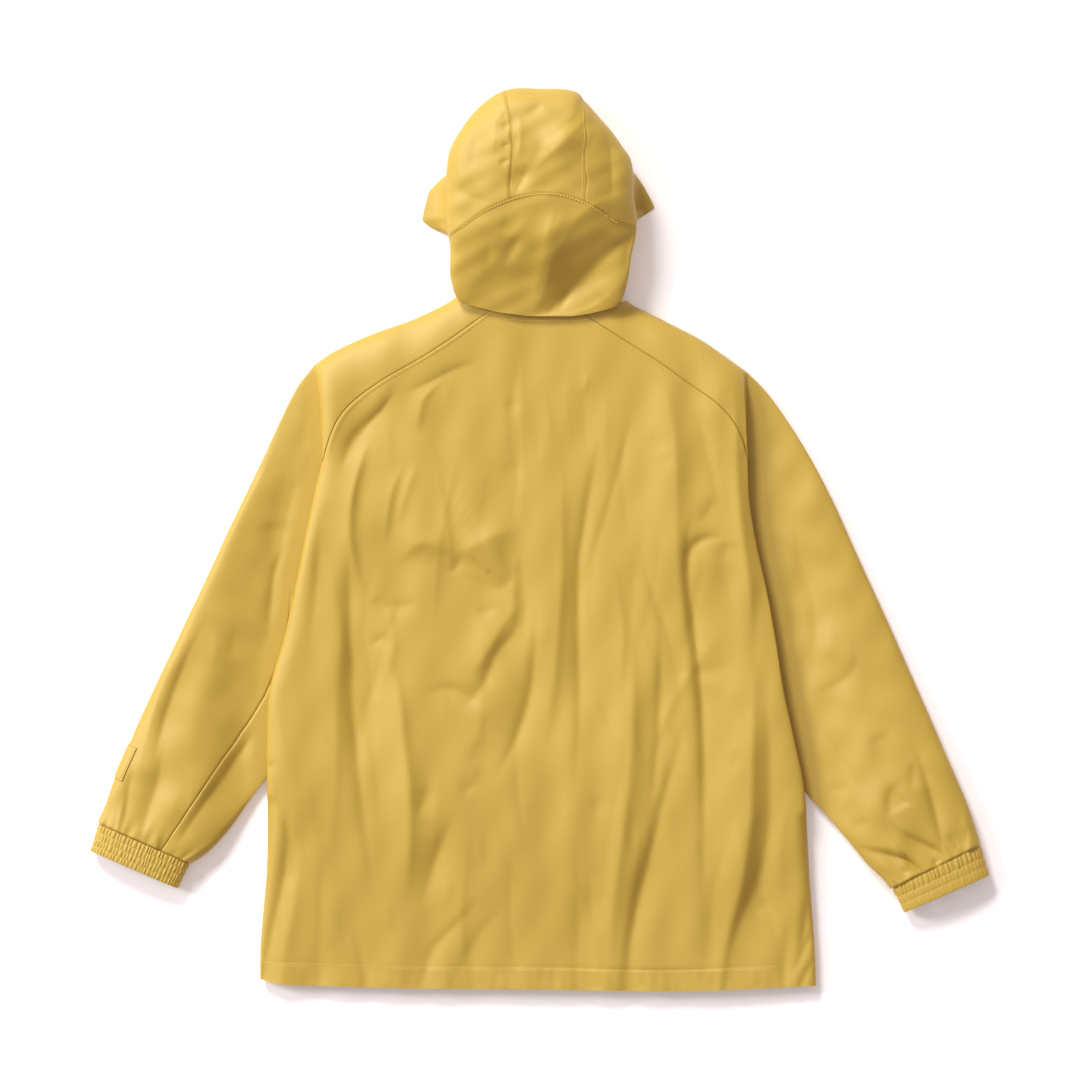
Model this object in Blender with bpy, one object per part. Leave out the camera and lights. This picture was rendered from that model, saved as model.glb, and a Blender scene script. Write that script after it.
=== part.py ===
"""A hooded raglan anorak pullover, laid flat on its front.

Metres, +Z up. The floor is z = 0, the hood points to +Y, the hem to -Y, and the
wearer's left sleeve to -X. The cloth of every piece is a thin wall: an outer grid
of points that follows the garment's form, an inner grid one wall thickness inside
it, and a rim that joins the two along each cut edge.
"""

import bmesh
import bpy
import numpy as np

# ---------------------------------------------------------------- driving sizes
CLOTH = 0.0015            # thickness of the cloth wall
SEAM_GAP = 0.0003         # space between two pieces that are sewn together
CROWN = 0.031             # height of the body at its middle, laid flat
OUTLINE_EDGE = 0.007      # height of the turned edge round shoulders and sleeves
EDGE_TURN = 0.009         # height of the back's side edge above where it lands
EDGE_CLEAR = 0.0004       # space between that edge and what it lands on
TURN_UNDER = 0.007        # how far that edge turns in beneath itself
UNDER_LENGTH = 0.009      # the same, measured along the cloth
SIDE_ROUND = 0.018        # width over which the body rises from its side edge
SHOULDER_ROUND = 0.045    # width over which the shoulder rises from its outline
SHOULDER_LEAN = 0.9       # cosine of the outline's slope, to measure square to it
EDGE_CURVE = 2.2          # how square that rise is: 2 is an ellipse
HEM_RISE = 0.260          # distance from the hem to full height
HEM_TOP = 0.0165          # height of the back at its open hem
NECK_BOW = 0.003          # rise of the back's neck edge at its middle
PRESSED = 0.0105          # height of a sleeve where the body lies on it
PRESSED_PAST = 0.012      # it stays pressed this far outside the body's edge
FREE_WITHIN = 0.035       # and regains its own height over this distance
FOLDS_FROM = 0.015        # its folds reach their height this far out
TOP_CURVE = 0.55          # how square a sleeve's rounded top is: 1 is an ellipse
FLOOR_CURVE = 0.5         # the same of its underside, and of a cuff's
CUFF_CURVE = 0.8          # the same of a cuff's top
FRONT_MARGIN = 0.003      # the front's side edge lies this far inside the back's
WING_RAMP = 0.011         # run over which the front climbs on to a sleeve
WING_LEAD = 0.022         # the climb goes on this far past the sleeve's crossing
FRONT_NECK_DROP = 0.035   # depth of the front's neck curve
NECK_HALF = 0.066         # half its width
NECK_BLEND = 0.230        # height above the armpit over which that curve grows
SLIT_DEPTH = 0.190        # neck slit in the front that lets the head through
SLIT_HALF = 0.003         # half its width at the neck edge
HOOD_CENTRE = (0.0, 0.375)
HOOD_TOP = 0.095          # height of the filled-out hood
HOOD_EDGE = 0.042         # height of its widest line
HOOD_RIM = 1.35           # place of the cut edge, with the apex 0 and the widest line 1
HOOD_TUCK = 0.0075        # how far the cut edge lies inside the widest line
WING_FULL = 0.020         # where the edge stands out this far, it isn't tucked in
FACE_EDGE = 0.0011        # height of the face opening's edge
HOOD_SEAM_HALF = 0.0015   # half a hood seam's gap, as a share of the hood's radius
CUFF_RIBS = 56            # gathers round one elasticated cuff
CUFF_RIB = 0.0011         # height of a gather
RIB_FADE = 0.005          # the gathers flatten within this height of the floor
PATCH_LIFT = 0.0003       # the label patch lies this far off the sleeve
PATCH_CLOTH = 0.0010

# ---------------------------------------------------------------- sections
# Side edges of the body as it lies: (y, left x, right x), from hem to shoulder.
SIDE_EDGES = (
    (-0.4970, -0.3140, 0.3095),
    (-0.4490, -0.3130, 0.3075),
    (-0.3710, -0.3065, 0.3020),
    (-0.3100, -0.3055, 0.2988),
    (-0.2700, -0.3060, 0.2950),
    (-0.2250, -0.3066, 0.2853),
    (-0.1680, -0.3033, 0.2729),
    (-0.1120, -0.2875, 0.2640),
    (-0.0560, -0.2752, 0.2538),
    (0.0000, -0.2640, 0.2415),
    (0.0450, -0.2545, 0.2345),
    (0.0880, -0.2455, 0.2330),
    (0.1120, -0.2449, 0.2334),
    (0.1570, -0.2456, 0.2330),
    (0.1950, -0.2488, 0.2280),
)
ARMPIT = 11  # row of SIDE_EDGES at which the raglan seams meet the folded edge

# Hem line: (x, y).
HEM = (
    (-0.3140, -0.4925),
    (-0.2900, -0.4985),
    (-0.2300, -0.5005),
    (-0.1370, -0.5030),
    (0.0000, -0.5040),
    (0.1120, -0.5060),
    (0.1800, -0.5055),
    (0.2470, -0.5030),
    (0.3095, -0.5000),
)

# Shoulder outline: (x, y). Beneath the hood it stays clear of the neck.
SHOULDER = (
    (-0.2550, 0.1950),
    (-0.2300, 0.2120),
    (-0.1880, 0.2310),
    (-0.1385, 0.2490),
    (-0.0945, 0.2725),
    (-0.0750, 0.3000),
    (-0.0500, 0.3400),
    (0.0500, 0.3400),
    (0.0750, 0.3000),
    (0.0970, 0.2685),
    (0.1340, 0.2485),
    (0.1780, 0.2260),
    (0.2125, 0.2025),
    (0.2340, 0.1870),
)

# Raglan cap of each sleeve, from the neck to the armpit fold:
# (back seam x, y, x of the shoulder outline, front seam x, y)
CAP_LEFT = (
    (-0.0525, 0.2585, -0.0945, -0.066, 0.238),
    (-0.0780, 0.2410, -0.1145, -0.083, 0.222),
    (-0.1070, 0.2205, -0.1385, -0.102, 0.205),
    (-0.1400, 0.2000, -0.1630, -0.122, 0.188),
    (-0.1750, 0.1800, -0.1880, -0.142, 0.170),
    (-0.2045, 0.1590, -0.2130, -0.160, 0.153),
    (-0.2230, 0.1400, -0.2300, -0.174, 0.138),
    (-0.2350, 0.1170, -0.2410, -0.185, 0.122),
    (-0.2440, 0.0880, -0.2490, -0.193, 0.106),
)
CAP_RIGHT = (
    (0.0455, 0.2555, 0.0970, 0.064, 0.236),
    (0.0730, 0.2375, 0.1135, 0.081, 0.220),
    (0.1030, 0.2185, 0.1340, 0.100, 0.203),
    (0.1370, 0.1970, 0.1560, 0.120, 0.186),
    (0.1680, 0.1745, 0.1780, 0.140, 0.168),
    (0.1960, 0.1550, 0.1970, 0.157, 0.151),
    (0.2155, 0.1350, 0.2125, 0.170, 0.136),
    (0.2265, 0.1150, 0.2210, 0.180, 0.121),
    (0.2325, 0.0920, 0.2275, 0.187, 0.106),
)

# Sleeve from the armpit fold to the cuff. A section runs from its back seam or
# inner edge over the top to the outer edge, and back along the floor:
# (inner x, y, outer x, y, front seam x, y, height of the top, of the outer edge)
TUBE_LEFT = (
    (-0.2485, 0.0860, -0.2535, 0.1960, -0.1970, 0.0940, 0.013, 0.0070),
    (-0.2495, 0.0600, -0.2720, 0.1720, -0.2060, 0.0650, 0.014, 0.0070),
    (-0.2500, 0.0300, -0.2895, 0.1380, -0.2170, 0.0330, 0.015, 0.0070),
    (-0.2475, 0.0000, -0.3095, 0.0940, -0.2300, 0.0000, 0.016, 0.0070),
    (-0.2430, -0.0300, -0.3320, 0.0470, -0.2430, -0.0300, 0.017, 0.0070),
    (-0.2425, -0.0650, -0.3540, 0.0010, -0.2425, -0.0650, 0.018, 0.0070),
    (-0.2470, -0.1050, -0.3760, -0.0470, -0.2470, -0.1050, 0.020, 0.0070),
    (-0.2560, -0.1500, -0.3985, -0.0940, -0.2560, -0.1500, 0.022, 0.0070),
    (-0.2685, -0.1920, -0.4175, -0.1340, -0.2685, -0.1920, 0.024, 0.0070),
    (-0.2860, -0.2400, -0.4335, -0.1680, -0.2860, -0.2400, 0.026, 0.0075),
    (-0.3060, -0.2660, -0.4505, -0.2050, -0.3060, -0.2660, 0.028, 0.0080),
    (-0.3260, -0.2920, -0.4625, -0.2330, -0.3260, -0.2920, 0.030, 0.0090),
    (-0.3470, -0.3225, -0.4745, -0.2610, -0.3470, -0.3225, 0.031, 0.0105),
    (-0.3710, -0.3490, -0.4845, -0.2890, -0.3710, -0.3490, 0.029, 0.0120),
    (-0.3935, -0.3625, -0.4940, -0.3185, -0.3935, -0.3625, 0.026, 0.0130),
)
TUBE_RIGHT = (
    (0.2355, 0.0900, 0.2325, 0.1880, 0.1900, 0.0940, 0.013, 0.0070),
    (0.2330, 0.0620, 0.2540, 0.1660, 0.1980, 0.0660, 0.014, 0.0070),
    (0.2310, 0.0320, 0.2780, 0.1330, 0.2070, 0.0340, 0.015, 0.0070),
    (0.2275, 0.0020, 0.3015, 0.0950, 0.2160, 0.0010, 0.016, 0.0070),
    (0.2240, -0.0280, 0.3265, 0.0480, 0.2240, -0.0280, 0.017, 0.0070),
    (0.2230, -0.0630, 0.3500, -0.0040, 0.2230, -0.0630, 0.018, 0.0070),
    (0.2275, -0.1030, 0.3715, -0.0510, 0.2275, -0.1030, 0.020, 0.0070),
    (0.2370, -0.1480, 0.3930, -0.0980, 0.2370, -0.1480, 0.022, 0.0070),
    (0.2505, -0.1900, 0.4115, -0.1400, 0.2505, -0.1900, 0.024, 0.0070),
    (0.2720, -0.2400, 0.4275, -0.1760, 0.2720, -0.2400, 0.026, 0.0075),
    (0.2985, -0.2840, 0.4450, -0.2160, 0.2985, -0.2840, 0.028, 0.0080),
    (0.3200, -0.3065, 0.4565, -0.2430, 0.3200, -0.3065, 0.031, 0.0090),
    (0.3430, -0.3340, 0.4695, -0.2725, 0.3430, -0.3340, 0.031, 0.0105),
    (0.3690, -0.3655, 0.4820, -0.3040, 0.3690, -0.3655, 0.029, 0.0120),
    (0.3965, -0.3905, 0.4930, -0.3430, 0.3965, -0.3905, 0.026, 0.0130),
)
CAP_ROWS = len(CAP_LEFT)      # a sleeve's sections count on from its cap's
CLOSED_TUBE = CAP_ROWS + 4    # from this section down the sleeve is a closed tube
SLEEVE_END = CAP_ROWS + len(TUBE_LEFT) - 1

# Free end of each cuff: (inner x, y, outer x, y).
CUFF_END_LEFT = (-0.4070, -0.3905, -0.5035, -0.3490)
CUFF_END_RIGHT = (0.4090, -0.4175, 0.5035, -0.3760)
CUFF_TOP = 0.026
CUFF_EDGE = 0.013

# Widest line of the hood: (bearing in degrees from +X, distance from its centre).
HOOD_OUTLINE = (
    (3.7, 0.1058),
    (15.7, 0.1086),
    (27.1, 0.1136),
    (37.4, 0.1131),
    (55.1, 0.1179),
    (66.4, 0.1263),
    (72.8, 0.1329),
    (90.0, 0.1300),
    (107.0, 0.1341),
    (122.8, 0.1285),
    (135.7, 0.1224),
    (149.0, 0.1180),
    (158.8, 0.1121),
    (176.2, 0.1047),
    (203.4, 0.1101),
    (219.7, 0.1300),
    (228.9, 0.1400),
    (235.0, 0.1370),
    (244.5, 0.1305),
    (259.7, 0.1254),
    (275.1, 0.1250),
    (290.0, 0.1313),
    (299.5, 0.1367),
    (306.4, 0.1420),
    (311.5, 0.1395),
    (321.0, 0.1275),
    (331.0, 0.1168),
    (342.4, 0.1125),
)
# The face opening's edge stands out past that line: (bearing, how far).
HOOD_WINGS = (
    (0.0, 0.0213),
    (9.6, 0.0150),
    (27.0, 0.0),
    (157.0, 0.0),
    (172.7, 0.0206),
    (187.0, 0.0280),
    (200.5, 0.0),
    (349.0, 0.0),
    (359.0, 0.0213),
    (360.0, 0.0213),
)
HOOD_NECK = (228.0, 309.0)    # bearings between which the hood is sewn to the neck
HOOD_NECK_BLEND = 8.0         # degrees over which its edge drops from the neck to the floor
# Hood seams: points (x, y) on the dome, and the bearings of their ends on the cut edge.
HOOD_ARC = (
    (-0.0900, 0.3490),
    (-0.0674, 0.3650),
    (-0.0355, 0.3800),
    (-0.0060, 0.3872),
    (0.0230, 0.3862),
    (0.0510, 0.3770),
    (0.0700, 0.3660),
    (0.0880, 0.3550),
)
HOOD_ARC_ENDS = (201.0, 347.0)
HOOD_ARC_JOINTS = (3, 6)      # places on that seam where the upright seams meet it
HOOD_SEAM_LEFT = (
    (-0.0355, 0.3800),
    (-0.0330, 0.4270),
    (-0.0337, 0.4490),
    (-0.0370, 0.4800),
)
HOOD_SEAM_RIGHT = (
    (0.0510, 0.3770),
    (0.0505, 0.4270),
    (0.0528, 0.4490),
    (0.0510, 0.4780),
)
HOOD_SEAM_ENDS = (107.0, 68.0)
HOOD_SIDE_TOP = 9.0           # degrees of the cut edge that end a side panel at its top
HOOD_BACK_CORNERS = (226.0, 311.0)

# ---------------------------------------------------------------- folds
# Each runs through three points (x, y), and has a half width and a height.
BODY_FOLDS = (
    (-0.162, 0.181, -0.194, 0.129, -0.222, 0.074, 0.013, -0.0045),
    (-0.189, 0.119, -0.213, 0.027, -0.195, -0.065, 0.013, 0.0045),
    (-0.106, 0.181, -0.131, 0.153, -0.137, 0.116, 0.012, 0.0022),
    (-0.153, 0.164, -0.111, 0.183, -0.067, 0.198, 0.012, -0.0022),
    (-0.143, -0.012, -0.116, -0.024, -0.092, -0.040, 0.012, -0.0035),
    (-0.037, 0.002, -0.035, -0.028, -0.045, -0.056, 0.013, -0.0032),
    (-0.243, 0.045, -0.250, -0.045, -0.263, -0.135, 0.013, -0.0020),
    (-0.206, -0.022, -0.199, -0.202, -0.184, -0.382, 0.020, -0.0060),
    (-0.176, -0.112, -0.148, -0.260, -0.151, -0.410, 0.019, 0.0040),
    (-0.094, -0.301, -0.116, -0.357, -0.133, -0.416, 0.012, -0.0032),
    (-0.063, -0.396, -0.101, -0.438, -0.130, -0.485, 0.012, -0.0025),
    (-0.028, -0.109, -0.051, -0.142, -0.069, -0.177, 0.013, -0.0038),
    (-0.271, -0.306, -0.282, -0.404, -0.306, -0.500, 0.013, -0.0036),
    (-0.004, -0.056, -0.011, -0.171, -0.056, -0.275, 0.015, -0.0048),
    (0.060, 0.101, 0.041, -0.073, 0.027, -0.247, 0.013, -0.0036),
    (0.025, 0.095, 0.024, -0.077, 0.000, -0.247, 0.014, 0.0022),
    (0.129, 0.191, 0.158, 0.104, 0.162, 0.011, 0.017, 0.0036),
    (0.217, 0.140, 0.226, 0.039, 0.244, -0.062, 0.013, 0.0024),
    (0.194, -0.001, 0.187, -0.114, 0.186, -0.238, 0.013, -0.0044),
    (0.099, -0.067, 0.110, -0.182, 0.106, -0.298, 0.020, 0.0026),
    (0.146, -0.289, 0.119, -0.399, 0.101, -0.511, 0.014, -0.0048),
    (0.239, -0.174, 0.235, -0.345, 0.195, -0.511, 0.019, 0.0050),
    (0.263, -0.180, 0.259, -0.348, 0.219, -0.511, 0.013, -0.0026),
    (0.038, -0.320, 0.044, -0.399, 0.042, -0.477, 0.016, -0.0020),
    (-0.219, -0.067, -0.228, -0.213, -0.236, -0.359, 0.013, 0.0020),
)
SLEEVE_FOLDS = (
    (-0.285, 0.129, -0.374, -0.042, -0.441, -0.222, 0.012, 0.0050),
    (-0.284, -0.003, -0.300, -0.062, -0.304, -0.124, 0.012, -0.0024),
    (-0.312, -0.204, -0.360, -0.269, -0.404, -0.337, 0.012, -0.0042),
    (-0.306, -0.249, -0.350, -0.295, -0.389, -0.346, 0.013, 0.0035),
    (-0.416, -0.256, -0.426, -0.294, -0.443, -0.330, 0.012, -0.0045),
    (0.286, 0.031, 0.301, -0.054, 0.302, -0.139, 0.016, -0.0030),
    (0.350, -0.108, 0.344, -0.154, 0.301, -0.176, 0.013, -0.0032),
    (0.438, -0.256, 0.450, -0.305, 0.456, -0.355, 0.012, -0.0034),
    (0.357, -0.346, 0.394, -0.357, 0.430, -0.371, 0.012, -0.0040),
)
HOOD_FOLDS = (
    (0.106, 0.353, 0.048, 0.303, 0.000, 0.245, 0.036, -0.0090),
    (0.022, 0.371, 0.004, 0.314, -0.011, 0.256, 0.018, 0.0022),
    (-0.029, 0.344, -0.033, 0.326, -0.037, 0.308, 0.012, -0.0032),
    (0.058, 0.472, 0.007, 0.442, -0.034, 0.400, 0.030, 0.0045),
    (0.070, 0.469, 0.080, 0.427, 0.090, 0.384, 0.014, -0.0032),
)
FOLD_PARTS = 8                # straight parts that a fold's curve is measured by

# ---------------------------------------------------------------- grids
# Columns that follow a side edge, by distance from it along the cloth: beneath it
# (as a share of UNDER_LENGTH), on top of it, and where the edge is a raglan seam.
UNDER_COLUMNS = (-1.0, -0.67, -0.33, 0.0)
EDGE_COLUMN = len(UNDER_COLUMNS) - 1
TOP_COLUMNS = (0.0025, 0.008, 0.017, 0.030)
SEAM_COLUMNS = (0.0, 0.004, 0.008, 0.012, 0.0165, 0.0215, 0.027, 0.0345)
BACK_COLUMNS = 34             # even columns between the two bands that follow the edges
BACK_ROW_STEP = 0.5           # rows of the back below the armpit, in rows of SIDE_EDGES
TURN_FADE = 1.5               # rows below the armpit over which the turned edge runs out
EDGE_TO_SEAM = 0.5            # rows over which the edge goes over to the raglan seam
SEAM_SPREAD = (-0.6, 2.0)     # rows from the armpit between which the columns part
FRONT_COLUMNS = 12            # across the middle of the front
LEAST_FLAT = 0.002            # least width of the front's edge that lies flat
FLAT_COLUMNS = (0.0, 0.5, 1.0)          # columns on that width, as shares of it
RAMP_COLUMNS = (0.33, 0.67, 1.0, 1.5)   # on the climb to a sleeve, as shares of its run
FRONT_ROWS = (0, 1, 2, 2.5, 3, 3.5, 4, 4.5, 5, 6, 7, 8)
TOP_STEPS = 12                # columns over the top of a sleeve
FLOOR_STEPS = 8               # columns beneath it
SLEEVE_ROWS = (*range(0, 20), 19.9, 20.5, 21.2, 22, 22.5, 23)
PATCH_ROWS = (20, 23)         # of those rows, the ones that the patch lies between
PATCH_COLUMNS = (10, 15)
HOOD_SIDE_STEPS = 7
HOOD_CENTRE_STEPS = 5
HOOD_UP_STEPS = 9
HOOD_DOWN_STEPS = 7
CUFF_ROWS = 3
CUFF_TURN_STEPS = 721         # points from which a cuff's even ones are read
SLOPE_STEP = 0.04             # part of a grid step over which a slope is taken
BODY_SLOPE_STEP = 0.0005      # the same on the body, in metres
HOOD_SLOPE_STEP = 0.004       # and on the hood, as a share of its radius

# ---------------------------------------------------------------- finish
CLOTH_COLOUR = (0.62, 0.41, 0.083)
CLOTH_ROUGHNESS = 0.62
PATCH_COLOUR = (0.60, 0.40, 0.085)


# ---------------------------------------------------------------- curves
def smooth(share):
    """0 to 1, with level ends."""
    share = np.clip(share, 0.0, 1.0)
    return share * share * (3.0 - 2.0 * share)


def along(table, place):
    """A table's rows read as a smooth curve; place counts its rows, with fractions."""
    rows = np.asarray(table, float)
    rows = np.vstack([2 * rows[0] - rows[1], rows, 2 * rows[-1] - rows[-2]])
    place = np.asarray(place, float)
    first = np.clip(np.floor(place).astype(int), 0, len(rows) - 4)
    share = (place - first)[..., None]
    a, b, c, d = (rows[first + step] for step in range(4))
    bend = 2 * a - 5 * b + 4 * c - d + share * (3 * (b - c) + d - a)
    return b + 0.5 * share * (c - a + share * bend)


def lookup(table, column, key):
    """One column of a table, smoothed, at values of its first column."""
    dense = along(table, np.linspace(0, len(table) - 1, 8 * len(table)))
    return np.interp(key, dense[:, 0], dense[:, column])


def rise(distance, width):
    """Share of the height inside a turned edge: upright at it, level past the width."""
    share = np.clip(distance / width, 0.0, 1.0)
    return (1.0 - (1.0 - share) ** EDGE_CURVE) ** (1 / EDGE_CURVE)


def fold_height(folds, x, y):
    """Sum of soft ridges and troughs, each along its own short curve."""
    total = np.zeros(np.shape(x))
    share = np.linspace(0.0, 1.0, FOLD_PARTS + 1)[:, None]
    for x0, y0, x1, y1, x2, y2, half_width, height in folds:
        start, middle, end = np.array(((x0, y0), (x1, y1), (x2, y2)))
        bend = start - 2 * middle + end
        curve = start + share * (end - start) - 2 * share * (1 - share) * bend
        total = total + height * np.exp(-((distance_to(curve, x, y) / half_width) ** 2))
    return total


def distance_to(curve, x, y):
    """Distance of places from a curve that is given by points."""
    nearest = np.full(np.shape(x), np.inf)
    for (x0, y0), (x1, y1) in zip(curve, curve[1:]):
        run, climb_y = x1 - x0, y1 - y0
        share = ((x - x0) * run + (y - y0) * climb_y) / (run**2 + climb_y**2)
        share = np.clip(share, 0.0, 1.0)
        away = np.hypot(x - x0 - share * run, y - y0 - share * climb_y)
        nearest = np.minimum(nearest, away)
    return nearest


# ---------------------------------------------------------------- walls
def unit(vectors):
    """The vectors, each made one metre long."""
    return vectors / np.linalg.norm(vectors, axis=-1, keepdims=True)


def slopes(surface, column, row, last_column, last_row):
    """Unit normals of a surface of (column, row), from its slopes."""
    ahead = surface(np.minimum(column + SLOPE_STEP, last_column), row)
    behind = surface(np.maximum(column - SLOPE_STEP, 0.0), row)
    up = surface(column, np.minimum(row + SLOPE_STEP, last_row))
    down = surface(column, np.maximum(row - SLOPE_STEP, 0.0))
    return unit(np.cross(ahead - behind, up - down))


def add_wall(name, outer, inner, colour, joined=None):
    """A closed wall between two grids (rows, columns, xyz).

    In a joined row the last column is the first one again, so the row is a ring.
    """
    row_count, column_count = outer.shape[:2]
    joined = [False] * row_count if joined is None else joined
    shell = bmesh.new()
    skins = []
    for grid in (outer, inner):
        rows = []
        for points, ring in zip(grid, joined):
            row = [shell.verts.new(p) for p in (points[:-1] if ring else points)]
            rows.append(row + row[:1] if ring else row)
        skins.append(rows)
    for rows in skins:
        for low, high in zip(rows, rows[1:]):
            for c in range(column_count - 1):
                shell.faces.new((low[c], low[c + 1], high[c + 1], high[c]))
    out, back = skins
    for r in (0, row_count - 1):
        for c in range(column_count - 1):
            shell.faces.new((out[r][c], out[r][c + 1], back[r][c + 1], back[r][c]))
    for r in range(row_count - 1):
        if joined[r] and joined[r + 1]:
            continue
        for c in (0, column_count - 1):
            shell.faces.new((out[r][c], out[r + 1][c], back[r + 1][c], back[r][c]))
    bmesh.ops.recalc_face_normals(shell, faces=shell.faces)
    mesh = bpy.data.meshes.new(name)
    shell.to_mesh(mesh)
    shell.free()
    mesh.shade_smooth()
    mesh.set_sharp_from_angle(angle=np.radians(50))
    mesh.materials.append(cloth_material(name, colour))
    piece = bpy.data.objects.new(name, mesh)
    garment().objects.link(piece)
    return piece


def cloth_material(name, colour):
    """Matt, tightly woven shell cloth."""
    material = bpy.data.materials.new(name)
    material.use_nodes = True
    shader = material.node_tree.nodes["Principled BSDF"]
    shader.inputs["Base Color"].default_value = (*colour, 1.0)
    shader.inputs["Roughness"].default_value = CLOTH_ROUGHNESS
    shader.inputs["Metallic"].default_value = 0.0
    return material


def garment():
    """The collection that holds every piece."""
    found = bpy.data.collections.get("anorak_pullover")
    if found is None:
        found = bpy.data.collections.new("anorak_pullover")
        bpy.context.scene.collection.children.link(found)
    return found


# ---------------------------------------------------------------- body
def side_edge(side, y):
    """x of the body's left (-1) or right (+1) edge."""
    return lookup(SIDE_EDGES, 1 if side < 0 else 2, y)


def crossed_edge(side, y):
    """x of the sleeve's inner edge, where the front climbs over it."""
    tube = np.asarray(TUBE_LEFT if side < 0 else TUBE_RIGHT)[CLOSED_TUBE - CAP_ROWS:]
    return np.interp(np.minimum(y + WING_LEAD, tube[1, 1]), tube[::-1, 1], tube[::-1, 0])


def climb(side, x, y):
    """0 where the front lies on the floor, 1 where it lies on a sleeve."""
    return smooth(1.0 + side * (x - crossed_edge(side, y)) / WING_RAMP)


def landing(side, y):
    """Height at which the back's side edge lands, on the front or over a sleeve."""
    margin = side_edge(side, y) - side * FRONT_MARGIN
    over = np.where(y > TUBE_LEFT[CLOSED_TUBE - CAP_ROWS][1], 1.0, climb(side, margin, y))
    return CLOTH + EDGE_CLEAR + over * (PRESSED + SEAM_GAP)


def body_height(x, y):
    """Outer surface of the back and of the raglan caps, above the floor."""
    left, right = side_edge(-1, y), side_edge(1, y)
    across = np.clip((x - left) / (right - left), 0.0, 1.0)
    edge = (1 - across) * landing(-1, y) + across * landing(1, y) + EDGE_TURN
    inside = rise(x - left, SIDE_ROUND) * rise(right - x, SIDE_ROUND)
    shoulder = rise((lookup(SHOULDER, 1, x) - y) * SHOULDER_LEAN, SHOULDER_ROUND)
    top = HEM_TOP + (CROWN - HEM_TOP) * smooth((y - lookup(HEM, 1, x)) / HEM_RISE)
    top = top + fold_height(BODY_FOLDS, x, y)
    return OUTLINE_EDGE + shoulder * (edge + (top - edge) * inside - OUTLINE_EDGE)


def body_normal(points):
    """Unit normals of the body's surface at points on it, upwards."""
    x, y, step = points[..., 0], points[..., 1], BODY_SLOPE_STEP
    slope_x = (body_height(x + step, y) - body_height(x - step, y)) / (2 * step)
    slope_y = (body_height(x, y + step) - body_height(x, y - step)) / (2 * step)
    return unit(np.stack([-slope_x, -slope_y, np.ones_like(x)], axis=-1))


def seam_point(side, place, inward):
    """Point of a raglan seam, moved towards the body; place counts up from the armpit."""
    table = np.asarray(CAP_LEFT if side < 0 else CAP_RIGHT)[::-1, :2]
    here = along(table, place)
    way = unit(along(table, place + SLOPE_STEP) - along(table, place - SLOPE_STEP))
    return here - inward * side * np.stack([way[..., 1], -way[..., 0]], axis=-1)


def body_end(side, row):
    """End (x, y) of a body row: on the side edge, or on the raglan seam above it."""
    folded = along(SIDE_EDGES, np.minimum(row, ARMPIT))
    folded = np.stack([folded[..., 1 if side < 0 else 2], folded[..., 0]], axis=-1)
    place = np.maximum(row - ARMPIT, 0.0)
    clear = SEAM_GAP * (0.5 + np.exp(-place))[..., None]  # wider where the pieces cross
    sewn = seam_point(side, place, clear)
    is_seam = smooth((row - ARMPIT) / EDGE_TO_SEAM + 1.0)[..., None]
    return folded * (1 - is_seam) + sewn * is_seam


def edge_distance(column, row):
    """Distance from the body's end, along the cloth, of a column that follows it."""
    places = np.arange(len(SEAM_COLUMNS))
    under = np.interp(column, places[:EDGE_COLUMN + 1], UNDER_COLUMNS) * UNDER_LENGTH
    under = under * smooth((ARMPIT - row) / TURN_FADE)
    on_top = np.interp(column, places[EDGE_COLUMN:], (0.0, *TOP_COLUMNS))
    rolled = np.where(column < EDGE_COLUMN, under, on_top)
    sewn = np.interp(column, places, SEAM_COLUMNS)
    first, last = SEAM_SPREAD
    return rolled + (sewn - rolled) * smooth((row - ARMPIT - first) / (last - first))


def back_surface(column, row):
    """Outer surface of the back: columns from left to right, rows from hem to neck."""
    band = len(SEAM_COLUMNS)
    last = 2 * band + BACK_COLUMNS - 2
    ends = {side: body_end(side, row) for side in (-1, 1)}
    reach = edge_distance(band - 1, row)
    left, right = ends[-1][..., 0] + reach, ends[1][..., 0] - reach
    x = left + (right - left) * np.clip((column - band + 1) / BACK_COLUMNS, 0.0, 1.0)
    under = np.zeros(np.shape(column))
    for side, steps in ((-1, column), (1, last - column)):
        near = steps < band - 1
        distance = edge_distance(np.minimum(steps, band - 1), row)
        x = np.where(near, ends[side][..., 0] - side * np.maximum(distance, 0.0), x)
        under = np.where(near, np.maximum(-distance, 0.0) * side, under)
    width = ends[1][..., 0] - ends[-1][..., 0]
    across = np.clip((x - ends[-1][..., 0]) / width, 0.0, 1.0)
    y = ends[-1][..., 1] + (ends[1][..., 1] - ends[-1][..., 1]) * across
    y = y + (lookup(HEM, 1, x) - SIDE_EDGES[0][0]) * np.clip(1 - row, 0.0, 1.0)
    y = y + NECK_BOW * np.sin(np.pi * across) * smooth(row - ARMPIT - CAP_ROWS + 2)
    turn = np.abs(under) / UNDER_LENGTH * np.pi / 2
    z = body_height(x, y) - EDGE_TURN * np.sin(turn)
    x = x - np.sign(under) * TURN_UNDER * (1 - np.cos(turn))
    return np.stack([x, y, z], axis=-1)


def make_back():
    """The back, from its hem to the neck."""
    last_column = 2 * len(SEAM_COLUMNS) + BACK_COLUMNS - 2
    last_row = ARMPIT + CAP_ROWS - 1
    rows = [*np.arange(0, ARMPIT, BACK_ROW_STEP), *range(ARMPIT, last_row + 1)]
    row, column = np.meshgrid(rows, np.arange(last_column + 1.0), indexing="ij")
    outer = back_surface(column, row)
    normal = slopes(back_surface, column, row, last_column, last_row)
    seam = [place >= ARMPIT for place in rows]
    for end in (0, -1):
        normal[seam, end] = body_normal(outer[seam, end])
    add_wall("back", outer, outer - CLOTH * normal, CLOTH_COLOUR)


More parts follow.
